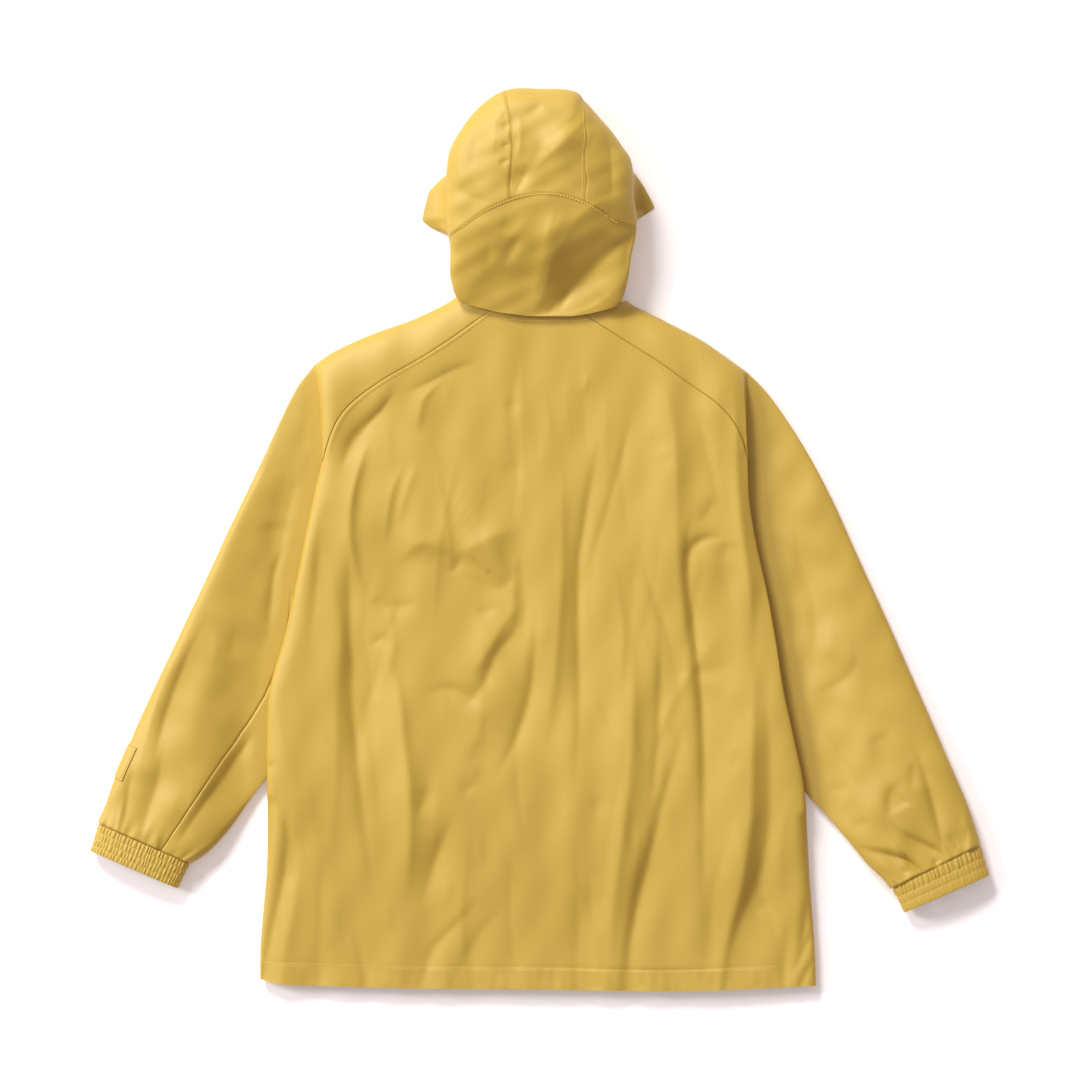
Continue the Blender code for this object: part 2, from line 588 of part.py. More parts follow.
def front_side(side):
    """Row ends of the front, from hem to neck."""
    body = along(SIDE_EDGES, FRONT_ROWS)
    points = [(row[1 if side < 0 else 2] - side * FRONT_MARGIN, row[0]) for row in body]
    tube = (TUBE_LEFT if side < 0 else TUBE_RIGHT)[:CLOSED_TUBE - CAP_ROWS + 1]
    cap = CAP_LEFT if side < 0 else CAP_RIGHT
    sewn = [row[4:6] for row in tube[::-1]] + [row[3:5] for row in cap[::-1]]
    return np.array(points + [(x - side * EDGE_CLEAR, y) for x, y in sewn])


def edge_columns(side, end, y):
    """x of the front's columns that follow one side edge, from the edge inwards."""
    flat = max(side * (end - crossed_edge(side, y)), LEAST_FLAT)
    inwards = [flat * share for share in FLAT_COLUMNS]
    inwards += [flat + WING_RAMP * share for share in RAMP_COLUMNS]
    return end - side * np.array(inwards)


def make_front():
    """The front: flat on the floor, its side edges lying up on the sleeves."""
    rows = []
    slit = FRONT_COLUMNS // 2 - 1
    for (left, left_y), (right, right_y) in zip(front_side(-1), front_side(1)):
        from_left = edge_columns(-1, left, left_y)
        from_right = edge_columns(1, right, right_y)
        middle = np.linspace(from_left[-1], from_right[-1], FRONT_COLUMNS + 1)[1:-1]
        middle[slit - 1:slit + 2] = (-SLIT_HALF, 0.0, SLIT_HALF)
        x = np.concatenate([from_left, middle, from_right[::-1]])
        y = left_y + (right_y - left_y) * (x - left) / (right - left)
        rows.append(np.stack([x, y], axis=-1))
    rows = np.array(rows)
    x, y = rows[..., 0], rows[..., 1]
    y[0] += lookup(HEM, 1, x[0]) - SIDE_EDGES[0][0] + FRONT_MARGIN
    neck_curve = np.cos(np.pi / 2 * np.clip(x / NECK_HALF, -1, 1)) ** 2
    y = y - FRONT_NECK_DROP * smooth(y / NECK_BLEND) * neck_curve
    centre = x.shape[1] // 2
    length = y[-1, centre] - y[0, centre]
    y[:, centre] = y[0, centre] + (y[:, centre] - y[0, centre]) * (1 - SLIT_DEPTH / length)
    tube_top = TUBE_LEFT[CLOSED_TUBE - CAP_ROWS][1]
    lying_up = (climb(-1, x, y) + climb(1, x, y)) * smooth(y / tube_top)
    z = (PRESSED + SEAM_GAP) * lying_up
    outer = np.stack([x, y, z], axis=-1)
    slope_x = np.gradient(z, axis=1) / np.gradient(x, axis=1)
    normal = unit(np.stack([slope_x, np.zeros_like(z), -np.ones_like(z)], axis=-1))
    add_wall("front", outer, outer - CLOTH * normal, CLOTH_COLOUR)


# ---------------------------------------------------------------- sleeves
def sleeve_section(side, row):
    """A sleeve's section at a row: inner, outer and front seam (x, y), top, edge height."""
    cap = np.asarray(CAP_LEFT if side < 0 else CAP_RIGHT)
    tube = np.asarray(TUBE_LEFT if side < 0 else TUBE_RIGHT)
    on_cap = np.minimum(row, CAP_ROWS - 1.0)
    cap_here = along(cap, on_cap)
    seam = seam_point(side, CAP_ROWS - 1 - on_cap, -SEAM_GAP / 2)
    shoulder = np.stack([cap_here[..., 2], lookup(SHOULDER, 1, cap_here[..., 2])], axis=-1)
    flat = np.full(np.shape(row), OUTLINE_EDGE)[..., None]
    cap_row = np.concatenate([seam, shoulder, cap_here[..., 3:5], 2 * flat, flat], axis=-1)
    tube_row = along(tube, np.maximum(row - CAP_ROWS, 0.0))
    low = np.clip(row - CAP_ROWS + 1, 0.0, 1.0)[..., None]
    return cap_row * (1 - low) + tube_row * low


def tube_turn(column, start):
    """Turn of a sleeve's section about its outer edge, over the top and under it."""
    top = start * np.clip(1 - column / TOP_STEPS, 0.0, 1.0)
    floor = start * np.clip((column - TOP_STEPS) / FLOOR_STEPS, 0.0, 1.0)
    return top, floor


def sleeve_surface(side):
    """Outer surface of one sleeve: columns round it, rows from neck to cuff."""

    def surface(column, row):
        section = sleeve_section(side, row)
        inner, outer, front = section[..., 0:2], section[..., 2:4], section[..., 4:6]
        height, edge = section[..., 6], section[..., 7]
        start = np.pi * (1 - 0.5 * np.clip(CLOSED_TUBE - row, 0.0, 1.0))
        top, floor = tube_turn(column, start)
        to_outer = ((np.cos(top) - np.cos(start)) / (1 - np.cos(start)))[..., None]
        to_front = ((1 - np.cos(floor)) / (1 - np.cos(start)))[..., None]
        over = inner + (outer - inner) * to_outer
        under = outer + (front - outer) * to_front
        place = np.where((column <= TOP_STEPS)[..., None], over, under)
        x, y = place[..., 0], place[..., 1]
        outside = side * (x - side_edge(side, y)) - PRESSED_PAST
        loose = PRESSED + (height - PRESSED) * smooth(outside / FREE_WITHIN)
        loose = loose + fold_height(SLEEVE_FOLDS, x, y) * smooth(outside / FOLDS_FROM)
        rounded = np.sin(top) ** TOP_CURVE
        low = edge + (loose - edge) * rounded
        on_body = np.clip(CAP_ROWS - row, 0.0, 1.0)
        z_top = on_body * body_height(x, y) + (1 - on_body) * low
        z_floor = edge * (1 - np.sin(floor) ** FLOOR_CURVE)
        z = np.where(column <= TOP_STEPS, z_top, z_floor)
        return np.stack([x, y, z], axis=-1)

    return surface


def make_sleeve(side):
    """One sleeve and, on the left one, the label patch over its outer edge."""
    surface = sleeve_surface(side)
    last_column = TOP_STEPS + FLOOR_STEPS
    columns = np.arange(last_column + 1.0)
    row, column = np.meshgrid(np.array(SLEEVE_ROWS, float), columns, indexing="ij")
    outer = surface(column, row)
    normal = -side * slopes(surface, column, row, last_column, SLEEVE_END)
    joined = [place >= CLOSED_TUBE for place in SLEEVE_ROWS]
    ring = np.array(joined)
    normal[ring, 0] = unit(normal[ring, 0] + normal[ring, -1])
    normal[ring, -1] = normal[ring, 0]
    normal[:CAP_ROWS, 0] = body_normal(outer[:CAP_ROWS, 0])
    name = "left" if side < 0 else "right"
    add_wall("sleeve_" + name, outer, outer - CLOTH * normal, CLOTH_COLOUR, joined)
    if side < 0:
        rows, cols = slice(*PATCH_ROWS), slice(*PATCH_COLUMNS)
        base, out = outer[rows, cols], normal[rows, cols]
        lifted = base + PATCH_LIFT * out
        add_wall("sleeve_patch", lifted + PATCH_CLOTH * out, lifted, PATCH_COLOUR)
    return outer[-1], normal[-1]


def make_cuff(side):
    """An elasticated cuff: a ring in line with the sleeve's end, gathered in even ribs."""
    start = np.array((TUBE_LEFT if side < 0 else TUBE_RIGHT)[-1][:4])
    end = np.array(CUFF_END_LEFT if side < 0 else CUFF_END_RIGHT)
    turn = np.linspace(0.0, 2 * np.pi, CUFF_TURN_STEPS)
    level = np.where(
        turn <= np.pi,
        CUFF_EDGE + (CUFF_TOP - CUFF_EDGE) * np.abs(np.sin(turn)) ** CUFF_CURVE,
        CUFF_EDGE - CUFF_EDGE * np.abs(np.sin(turn)) ** FLOOR_CURVE,
    )
    length = np.linalg.norm(end - start) / np.sqrt(2)
    grids = []
    for share in np.linspace(SEAM_GAP / length, 1.0, CUFF_ROWS):
        inner_x, inner_y, outer_x, outer_y = start + (end - start) * share
        middle = np.array([inner_x + outer_x, inner_y + outer_y]) / 2
        half = np.array([outer_x - inner_x, outer_y - inner_y]) / 2
        flat = middle - half * np.cos(turn)[:, None]
        ring = np.column_stack([flat, level])
        travelled = np.concatenate([[0], np.cumsum(np.linalg.norm(np.diff(ring, axis=0), axis=1))])
        even = np.linspace(0, travelled[-1], 2 * CUFF_RIBS + 1)
        grids.append([np.interp(even, travelled, ring[:, axis]) for axis in range(3)])
    plain = np.array(grids).transpose(0, 2, 1)
    across = np.roll(plain[:, :-1], -1, axis=1) - np.roll(plain[:, :-1], 1, axis=1)
    across = np.concatenate([across, across[:, :1]], axis=1)
    down = np.broadcast_to(plain[-1:] - plain[:1], plain.shape)
    normal = -side * unit(np.cross(across, down))
    crest = (np.arange(plain.shape[1]) % 2 == 0) * smooth(plain[..., 2] / RIB_FADE)
    outer = plain + normal * (CUFF_RIB * crest)[..., None]
    name = "cuff_" + ("left" if side < 0 else "right")
    add_wall(name, outer, plain - CLOTH * normal, CLOTH_COLOUR, [True] * CUFF_ROWS)


# ---------------------------------------------------------------- hood
def hood_reach(bearing):
    """Distance of the hood's widest line from its centre, at a bearing in degrees."""
    table = np.array(HOOD_OUTLINE)
    wrapped = np.vstack([table[-3:] - (360, 0), table, table[:3] + (360, 0)])
    return lookup(wrapped, 1, bearing % 360)


def hood_point(disc):
    """Outer surface of the hood. In disc the apex is (0, 0) and the widest line has radius 1."""
    radius = np.hypot(disc[..., 0], disc[..., 1])
    angle = np.arctan2(disc[..., 1], disc[..., 0])
    bearing = np.degrees(angle) % 360
    reach = hood_reach(bearing)
    wing = np.interp(bearing, *np.array(HOOD_WINGS).T)
    below = np.clip((radius - 1) / (HOOD_RIM - 1), 0.0, None)
    tuck = wing - HOOD_TUCK * (1 - np.clip(wing / WING_FULL, 0.0, 1.0))
    flat = reach * np.sin(np.minimum(radius, 1.0) * np.pi / 2)
    x = HOOD_CENTRE[0] + (flat + tuck * below**2) * np.cos(angle)
    y = HOOD_CENTRE[1] + (flat + tuck * below**2) * np.sin(angle)
    end_x = HOOD_CENTRE[0] + (reach + tuck) * np.cos(angle)
    end_y = HOOD_CENTRE[1] + (reach + tuck) * np.sin(angle)
    sewn = smooth((bearing - HOOD_NECK[0]) / HOOD_NECK_BLEND + 0.5)
    sewn = sewn * smooth((HOOD_NECK[1] - bearing) / HOOD_NECK_BLEND + 0.5)
    neck = body_height(end_x, end_y) + 2 * SEAM_GAP
    rim = FACE_EDGE + (neck - FACE_EDGE) * sewn
    dome = HOOD_EDGE + (HOOD_TOP - HOOD_EDGE) * np.cos(np.minimum(radius, 1.0) * np.pi / 2)
    dome = dome + fold_height(HOOD_FOLDS, x, y) * (below == 0)
    z = dome - (HOOD_EDGE - rim) * below
    return np.stack([x, y, z], axis=-1)


def on_disc(points):
    """Disc places of points (x, y) on the dome."""
    offset = np.asarray(points, float) - HOOD_CENTRE
    angle = np.arctan2(offset[:, 1], offset[:, 0])
    share = np.hypot(*offset.T) / hood_reach(np.degrees(angle))
    radius = np.arcsin(np.minimum(share, 1.0)) * 2 / np.pi
    return np.column_stack([radius * np.cos(angle), radius * np.sin(angle)])


def on_rim(bearing):
    """Disc places on the hood's cut edge."""
    angle = np.radians(bearing)
    return HOOD_RIM * np.stack([np.cos(angle), np.sin(angle)], axis=-1)


def fill_patch(bottom, top, left, right):
    """Grid of a four-sided patch from the points along its sides."""
    u = np.linspace(0, 1, len(bottom))[None, :, None]
    v = np.linspace(0, 1, len(left))[:, None, None]
    sides = (1 - v) * bottom[None] + v * top[None] + (1 - u) * left[:, None] + u * right[:, None]
    corners = (1 - u) * (1 - v) * bottom[0] + u * (1 - v) * bottom[-1]
    return sides - corners - (1 - u) * v * top[0] - u * v * top[-1]


def add_hood_panel(name, disc):
    """A hood panel over a grid of disc places, drawn in by half a seam's gap."""
    disc = disc + HOOD_SEAM_HALF * unit(disc.mean(axis=(0, 1)) - disc)
    outer = hood_point(disc)
    ahead = [HOOD_SLOPE_STEP * np.array(way) for way in ((1, 0), (0, 1))]
    slope = [hood_point(disc + step) - hood_point(disc - step) for step in ahead]
    normal = unit(np.cross(*slope))
    add_wall(name, outer, outer - CLOTH * normal, CLOTH_COLOUR)


def make_hood():
    """Side, middle and lower back panels that share one dome."""
    arc = np.vstack([on_rim(HOOD_ARC_ENDS[0]), on_disc(HOOD_ARC), on_rim(HOOD_ARC_ENDS[1])])
    joints = (0, *HOOD_ARC_JOINTS, len(arc) - 1)
    steps = (HOOD_SIDE_STEPS, HOOD_CENTRE_STEPS, HOOD_SIDE_STEPS)
    lower = [
        along(arc, np.linspace(start, stop, count + 1))
        for start, stop, count in zip(joints, joints[1:], steps)
    ]
    seams = []
    for points, bearing in zip((HOOD_SEAM_LEFT, HOOD_SEAM_RIGHT), HOOD_SEAM_ENDS):
        curve = np.vstack([on_disc(points), on_rim(bearing)])
        curve[0] = arc[joints[1 + len(seams)]]
        seams.append(along(curve, np.linspace(0, len(points), HOOD_UP_STEPS + 1)))

    left_top, right_top = HOOD_SEAM_ENDS[0] + HOOD_SIDE_TOP, HOOD_SEAM_ENDS[1] - HOOD_SIDE_TOP
    left_rim = on_rim(np.linspace(HOOD_ARC_ENDS[0], left_top, HOOD_UP_STEPS + 1))
    right_rim = on_rim(np.linspace(HOOD_ARC_ENDS[1] - 360, right_top, HOOD_UP_STEPS + 1))
    left_end = on_rim(np.linspace(left_top, HOOD_SEAM_ENDS[0], HOOD_SIDE_STEPS + 1))
    right_end = on_rim(np.linspace(HOOD_SEAM_ENDS[1], right_top, HOOD_SIDE_STEPS + 1))
    crown = on_rim(np.linspace(*HOOD_SEAM_ENDS, HOOD_CENTRE_STEPS + 1))
    add_hood_panel("hood_side_left", fill_patch(lower[0], left_end, left_rim, seams[0]))
    add_hood_panel("hood_centre", fill_patch(lower[1], crown, seams[0], seams[1]))
    add_hood_panel("hood_side_right", fill_patch(lower[2], right_end, seams[1], right_rim))

    whole_arc = np.vstack([lower[0], lower[1][1:], lower[2][1:]])
    neck = on_rim(np.linspace(*HOOD_BACK_CORNERS, len(whole_arc)))
    down = np.linspace(0, 1, HOOD_DOWN_STEPS + 1)
    left = on_rim(HOOD_BACK_CORNERS[0] + (HOOD_ARC_ENDS[0] - HOOD_BACK_CORNERS[0]) * down)
    right = on_rim(HOOD_BACK_CORNERS[1] + (HOOD_ARC_ENDS[1] - HOOD_BACK_CORNERS[1]) * down)
    add_hood_panel("hood_back", fill_patch(neck, whole_arc, left, right))


def main():
    for item in list(bpy.data.objects):
        bpy.data.objects.remove(item, do_unlink=True)
    make_back()
    make_front()
    for side in (-1, 1):
        make_sleeve(side)
        make_cuff(side)
    make_hood()


main()
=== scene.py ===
"""The looks of a hooded anorak pullover, laid flat on its front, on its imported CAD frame.

Metres, +Z up: the floor is z = 0, the hood points to +Y and the wearer's left sleeve
to -X. Every CAD piece is replaced by a finer and thinner wall of the same form, with
its creases, seams, gathers and stitching. Tables marked mm are in millimetres.
"""

import bpy
import numpy as np
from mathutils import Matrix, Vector
from mathutils.bvhtree import BVHTree


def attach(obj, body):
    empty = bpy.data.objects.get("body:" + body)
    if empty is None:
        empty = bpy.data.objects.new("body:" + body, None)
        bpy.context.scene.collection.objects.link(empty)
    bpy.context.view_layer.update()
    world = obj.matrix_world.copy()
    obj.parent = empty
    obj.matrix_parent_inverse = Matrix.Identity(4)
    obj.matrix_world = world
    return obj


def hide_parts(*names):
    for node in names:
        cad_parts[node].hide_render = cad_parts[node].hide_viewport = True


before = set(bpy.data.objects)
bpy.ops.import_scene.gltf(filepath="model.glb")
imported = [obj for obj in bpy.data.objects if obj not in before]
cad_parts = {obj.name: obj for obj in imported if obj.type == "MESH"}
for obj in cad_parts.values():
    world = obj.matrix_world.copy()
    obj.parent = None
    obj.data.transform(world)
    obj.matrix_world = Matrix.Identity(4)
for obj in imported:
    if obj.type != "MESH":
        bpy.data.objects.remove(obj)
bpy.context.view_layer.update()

MM = 0.001
LEFT, RIGHT = -1, 1       # sides, by the sign of x
SIDES = {LEFT: "left", RIGHT: "right"}

# ---------------------------------------------------------------- driving sizes
LAYER = 0.0015            # thickness that one layer of cloth is given in the frame
CLOTH = 0.0008            # thickness of the cloth wall
SEAM_GAP = 0.0003         # space between two pieces that are sewn together
FRONT_GAP = 1.3 * SEAM_GAP    # space between the front and what it meets
CROWN = 0.031             # height of the body at its middle, laid flat
OUTLINE_EDGE = 0.007      # height of the turned edge round shoulders and sleeves
EDGE_TURN = 0.009         # height of the back's side edge above where it lands
EDGE_TURN_MOST = {LEFT: 0.009, RIGHT: 0.0155}   # and where it stands up over the sleeve
EDGE_LOW, EDGE_FULL = -0.300, -0.200    # from the first y to the second it gets there
EDGE_END = 0.170          # and it is low again at this y
EDGE_FADE = 0.050         # after going down over this distance
TURN_UNDER = 0.007        # how far that edge turns in beneath itself
UNDER_LENGTH = 0.009      # the same, measured along the cloth
SIDE_ROUND = 0.018        # width over which the body rises from its side edge
SHOULDER_ROUND = 0.045    # width over which the shoulder rises from its outline
SHOULDER_LEAN = 0.9       # cosine of the outline's slope, to measure square to it
EDGE_CURVE = 2.2          # how square that rise is: 2 is an ellipse
HEM_RISE = 0.260          # distance from the hem to full height
HEM_TOP = 0.0165          # height of the back at its open hem
NECK_BOW = 0.003          # rise of the back's neck edge at its middle
PRESSED = 0.0105          # height of a sleeve where the body lies on it
PRESSED_PAST = 0.012      # it stays pressed this far outside the body's edge
FREE_WITHIN = 0.075       # and regains its own height over this distance
FOLDS_FROM = 0.015        # its creases reach their height this far out
TOP_CURVE = 0.55          # how square a sleeve's rounded top is: 1 is an ellipse
FLOOR_CURVE = 0.5         # the same of its underside, and of a cuff's
CUFF_CURVE = 0.8          # the same of a cuff's top
FRONT_MARGIN = 0.003      # the front's side edge lies this far inside the back's
WING_RAMP = 0.011         # run over which the front climbs on to a sleeve
WING_LEAD = 0.022         # the climb goes on this far past the sleeve's crossing
FRONT_NECK_DROP = 0.035   # depth of the front's neck curve
NECK_HALF = 0.066         # half its width
NECK_BLEND = 0.230        # height above the garment's middle over which that curve grows
SLIT_DEPTH = 0.190        # neck slit in the front that lets the head through
SLIT_HALF = 0.003         # half its width at the neck edge
HOOD_CENTRE = (0.0, 0.375)
HOOD_TOP = 0.083          # height of the filled-out hood
HOOD_EDGE = 0.042         # height of its widest line
HOOD_SQUARE = 2.35        # how square its dome is: 2 is an ellipse
HOOD_APEX = 0.35          # share of its radius by which its highest place lies up from its centre
HOOD_NECK_SLOPE = 2.0     # towards the neck it slopes down instead: 1 is a cone
HOOD_NECK_EDGE = 0.0385   # and its widest line is this low
HOOD_SLOPE = (195.0, 339.0, 44.0)   # between these bearings; degrees over which that blends
HOOD_SLOPE_FROM = 0.1     # and from this share of the hood's radius
HOOD_SLOPE_BLEND = 0.6    # to this share further out
HOOD_RIM = 1.35           # place of the cut edge, with the apex 0 and the widest line 1
HOOD_TUCK = 0.0075        # how far the cut edge lies inside the widest line
WING_FULL = 0.020         # where the edge stands out this far, it isn't tucked in
WING_DROP = {LEFT: 0.62, RIGHT: 0.90}   # how early it drops to the floor there
FACE_EDGE = 0.0011        # height of the face opening's edge
HOOD_SEAM_HALF = 0.0005   # half a hood seam's gap, as a share of the hood's radius
PATCH_LIFT = 0.0003       # the label patch lies this far off the sleeve
PATCH_CLOTH = 0.0006      # its height over its edge
PATCH_EDGE = 0.0004       # thickness of its edge
PATCH_ROUND = 0.0010      # width of its rounded edge
PATCH_STITCH = 0.0018     # distance of its stitches from that edge
PATCH_GROOVE = 0.0005     # depth of their groove
PATCH_GROOVE_HALF = 0.0006
PATCH_ROWS = (19.86, 21.2)    # sections of the sleeve between which the patch lies
PATCH_COLUMNS = (10.0, 14.0)  # and columns round it

# ---------------------------------------------------------------- sections
# Side edges of the body as it lies: (y, left x, right x), from hem to shoulder.
SIDE_EDGES = (
    (-0.4970, -0.3140, 0.3095),
    (-0.4490, -0.3130, 0.3075),
    (-0.3710, -0.3065, 0.3020),
    (-0.3100, -0.3055, 0.2988),
    (-0.2700, -0.3060, 0.2950),
    (-0.2250, -0.3066, 0.2853),
    (-0.1680, -0.3033, 0.2729),
    (-0.1120, -0.2875, 0.2640),
    (-0.0560, -0.2752, 0.2538),
    (0.0000, -0.2640, 0.2415),
    (0.0450, -0.2545, 0.2345),
    (0.0880, -0.2455, 0.2330),
    (0.1120, -0.2449, 0.2334),
    (0.1570, -0.2456, 0.2330),
    (0.1950, -0.2488, 0.2280),
)
ARMPIT = 11  # row of SIDE_EDGES at which the raglan seams meet the folded edge

# Hem line: (x, y).
HEM = (
    (-0.3140, -0.4925),
    (-0.2900, -0.4985),
    (-0.2300, -0.5005),
    (-0.1370, -0.5030),
    (0.0000, -0.5040),
    (0.1120, -0.5060),
    (0.1800, -0.5055),
    (0.2470, -0.5030),
    (0.3095, -0.5000),
)

# Shoulder outline: (x, y). Beneath the hood it stays clear of the neck.
SHOULDER = (
    (-0.2550, 0.1950),
    (-0.2300, 0.2120),
    (-0.1880, 0.2310),
    (-0.1385, 0.2490),
    (-0.0945, 0.2725),
    (-0.0750, 0.3000),
    (-0.0500, 0.3400),
    (0.0500, 0.3400),
    (0.0750, 0.3000),
    (0.0970, 0.2685),
    (0.1340, 0.2485),
    (0.1780, 0.2260),
    (0.2125, 0.2025),
    (0.2340, 0.1870),
)

# Raglan cap of each sleeve, from the neck to the armpit fold:
# (back seam x, y, x of the shoulder outline, front seam x, y)
CAPS = {LEFT: (
    (-0.0525, 0.2585, -0.0945, -0.066, 0.238),
    (-0.0780, 0.2410, -0.1145, -0.083, 0.222),
    (-0.1070, 0.2205, -0.1385, -0.102, 0.205),
    (-0.1400, 0.2000, -0.1630, -0.122, 0.188),
    (-0.1750, 0.1800, -0.1880, -0.142, 0.170),
    (-0.2045, 0.1590, -0.2130, -0.160, 0.153),
    (-0.2230, 0.1400, -0.2300, -0.174, 0.138),
    (-0.2350, 0.1170, -0.2410, -0.185, 0.122),
    (-0.2440, 0.0880, -0.2490, -0.193, 0.106),
), RIGHT: (
    (0.0455, 0.2555, 0.0970, 0.064, 0.236),
    (0.0730, 0.2375, 0.1135, 0.081, 0.220),
    (0.1030, 0.2185, 0.1340, 0.100, 0.203),
    (0.1370, 0.1970, 0.1560, 0.120, 0.186),
    (0.1680, 0.1745, 0.1780, 0.140, 0.168),
    (0.1960, 0.1550, 0.1970, 0.157, 0.151),
    (0.2155, 0.1350, 0.2125, 0.170, 0.136),
    (0.2265, 0.1150, 0.2210, 0.180, 0.121),
    (0.2325, 0.0920, 0.2275, 0.187, 0.106),
)}

# Sleeve from the armpit fold to the cuff. A section runs from its back seam or
# inner edge over the top to the outer edge, and back along the floor:
# (inner x, y, outer x, y, front seam x, y, height of the top, of the outer edge)
TUBES = {LEFT: (
    (-0.2425, 0.0850, -0.2535, 0.1960, -0.1970, 0.0940, 0.013, 0.0070),
    (-0.2450, 0.0600, -0.2720, 0.1720, -0.2060, 0.0650, 0.014, 0.0070),
    (-0.2500, 0.0300, -0.2895, 0.1380, -0.2170, 0.0330, 0.015, 0.0070),
    (-0.2475, 0.0000, -0.3095, 0.0940, -0.2300, 0.0000, 0.016, 0.0070),
    (-0.2430, -0.0300, -0.3320, 0.0470, -0.2430, -0.0300, 0.017, 0.0070),
    (-0.2425, -0.0650, -0.3540, 0.0010, -0.2425, -0.0650, 0.018, 0.0070),
    (-0.2470, -0.1050, -0.3760, -0.0470, -0.2470, -0.1050, 0.020, 0.0070),
    (-0.2560, -0.1500, -0.3985, -0.0940, -0.2560, -0.1500, 0.022, 0.0070),
    (-0.2685, -0.1920, -0.4175, -0.1340, -0.2685, -0.1920, 0.024, 0.0070),
    (-0.2860, -0.2400, -0.4335, -0.1680, -0.2860, -0.2400, 0.026, 0.0075),
    (-0.3060, -0.2660, -0.4505, -0.2050, -0.3060, -0.2660, 0.028, 0.0080),
    (-0.3260, -0.2920, -0.4625, -0.2330, -0.3260, -0.2920, 0.030, 0.0090),
    (-0.3470, -0.3225, -0.4745, -0.2610, -0.3470, -0.3225, 0.031, 0.0105),
    (-0.3710, -0.3490, -0.4845, -0.2890, -0.3710, -0.3490, 0.029, 0.0120),
    (-0.3935, -0.3625, -0.4940, -0.3185, -0.3935, -0.3625, 0.026, 0.0130),
), RIGHT: (
    (0.2310, 0.0890, 0.2325, 0.1880, 0.1900, 0.0940, 0.013, 0.0070),
    (0.2290, 0.0620, 0.2540, 0.1660, 0.1980, 0.0660, 0.014, 0.0070),
    (0.2310, 0.0320, 0.2780, 0.1330, 0.2070, 0.0340, 0.015, 0.0070),
    (0.2275, 0.0020, 0.3015, 0.0950, 0.2160, 0.0010, 0.016, 0.0070),
    (0.2240, -0.0280, 0.3265, 0.0480, 0.2240, -0.0280, 0.017, 0.0070),
    (0.2230, -0.0630, 0.3500, -0.0040, 0.2230, -0.0630, 0.018, 0.0070),
    (0.2275, -0.1030, 0.3715, -0.0510, 0.2275, -0.1030, 0.020, 0.0070),
    (0.2370, -0.1480, 0.3930, -0.0980, 0.2370, -0.1480, 0.022, 0.0070),
    (0.2505, -0.1900, 0.4115, -0.1400, 0.2505, -0.1900, 0.024, 0.0070),
    (0.2720, -0.2400, 0.4275, -0.1760, 0.2720, -0.2400, 0.026, 0.0075),
    (0.2985, -0.2840, 0.4450, -0.2160, 0.2985, -0.2840, 0.028, 0.0080),
    (0.3200, -0.3065, 0.4565, -0.2430, 0.3200, -0.3065, 0.031, 0.0090),
    (0.3430, -0.3340, 0.4695, -0.2725, 0.3430, -0.3340, 0.031, 0.0105),
    (0.3690, -0.3655, 0.4820, -0.3040, 0.3690, -0.3655, 0.029, 0.0120),
    (0.3965, -0.3905, 0.4930, -0.3430, 0.3965, -0.3905, 0.026, 0.0130),
)}
CAP_ROWS = len(CAPS[LEFT])    # a sleeve's sections count on from its cap's
CLOSED_TUBE = CAP_ROWS + 4    # from this section down the sleeve is a closed tube
SLEEVE_END = CAP_ROWS + len(TUBES[LEFT]) - 1
TUBE_TOP = TUBES[LEFT][CLOSED_TUBE - CAP_ROWS][1]    # y at which that begins

# Free end of each cuff: (inner x, y, outer x, y).
CUFF_ENDS = {
    LEFT: (-0.4070, -0.3905, -0.5035, -0.3490),
    RIGHT: (0.4090, -0.4175, 0.5035, -0.3760),
}
CUFF_TOP = 0.026              # height of a cuff at its middle
CUFF_EDGE = 0.013             # and at its two folds

# Widest line of the hood: (bearing in degrees from +X, distance from its centre).
HOOD_OUTLINE = (
    (3.7, 0.1058),
    (15.7, 0.1086),
    (27.1, 0.1136),
    (37.4, 0.1131),
    (55.1, 0.1179),
    (66.4, 0.1263),
    (72.8, 0.1329),
    (90.0, 0.1300),
    (107.0, 0.1341),
    (122.8, 0.1285),
    (135.7, 0.1224),
    (149.0, 0.1180),
    (158.8, 0.1121),
    (176.2, 0.1047),
    (203.4, 0.1101),
    (219.7, 0.1300),
    (228.9, 0.1400),
    (235.0, 0.1370),
    (244.5, 0.1305),
    (259.7, 0.1254),
    (275.1, 0.1250),
    (290.0, 0.1313),
    (299.5, 0.1367),
    (306.4, 0.1420),
    (311.5, 0.1395),
    (321.0, 0.1275),
    (331.0, 0.1168),
    (342.4, 0.1125),
)
# The face opening's edge stands out past that line: (bearing, how far).
HOOD_WINGS = (
    (0.0, 0.0213),
    (9.6, 0.0150),
    (27.0, 0.0),
    (157.0, 0.0),
    (172.7, 0.0206),
    (187.0, 0.0280),
    (200.5, 0.0),
    (349.0, 0.0),
    (359.0, 0.0213),
    (360.0, 0.0213),
)
HOOD_NECK = (228.0, 309.0)    # bearings between which the hood is sewn to the neck
HOOD_NECK_BLEND = 8.0         # degrees over which its edge drops from the neck to the floor
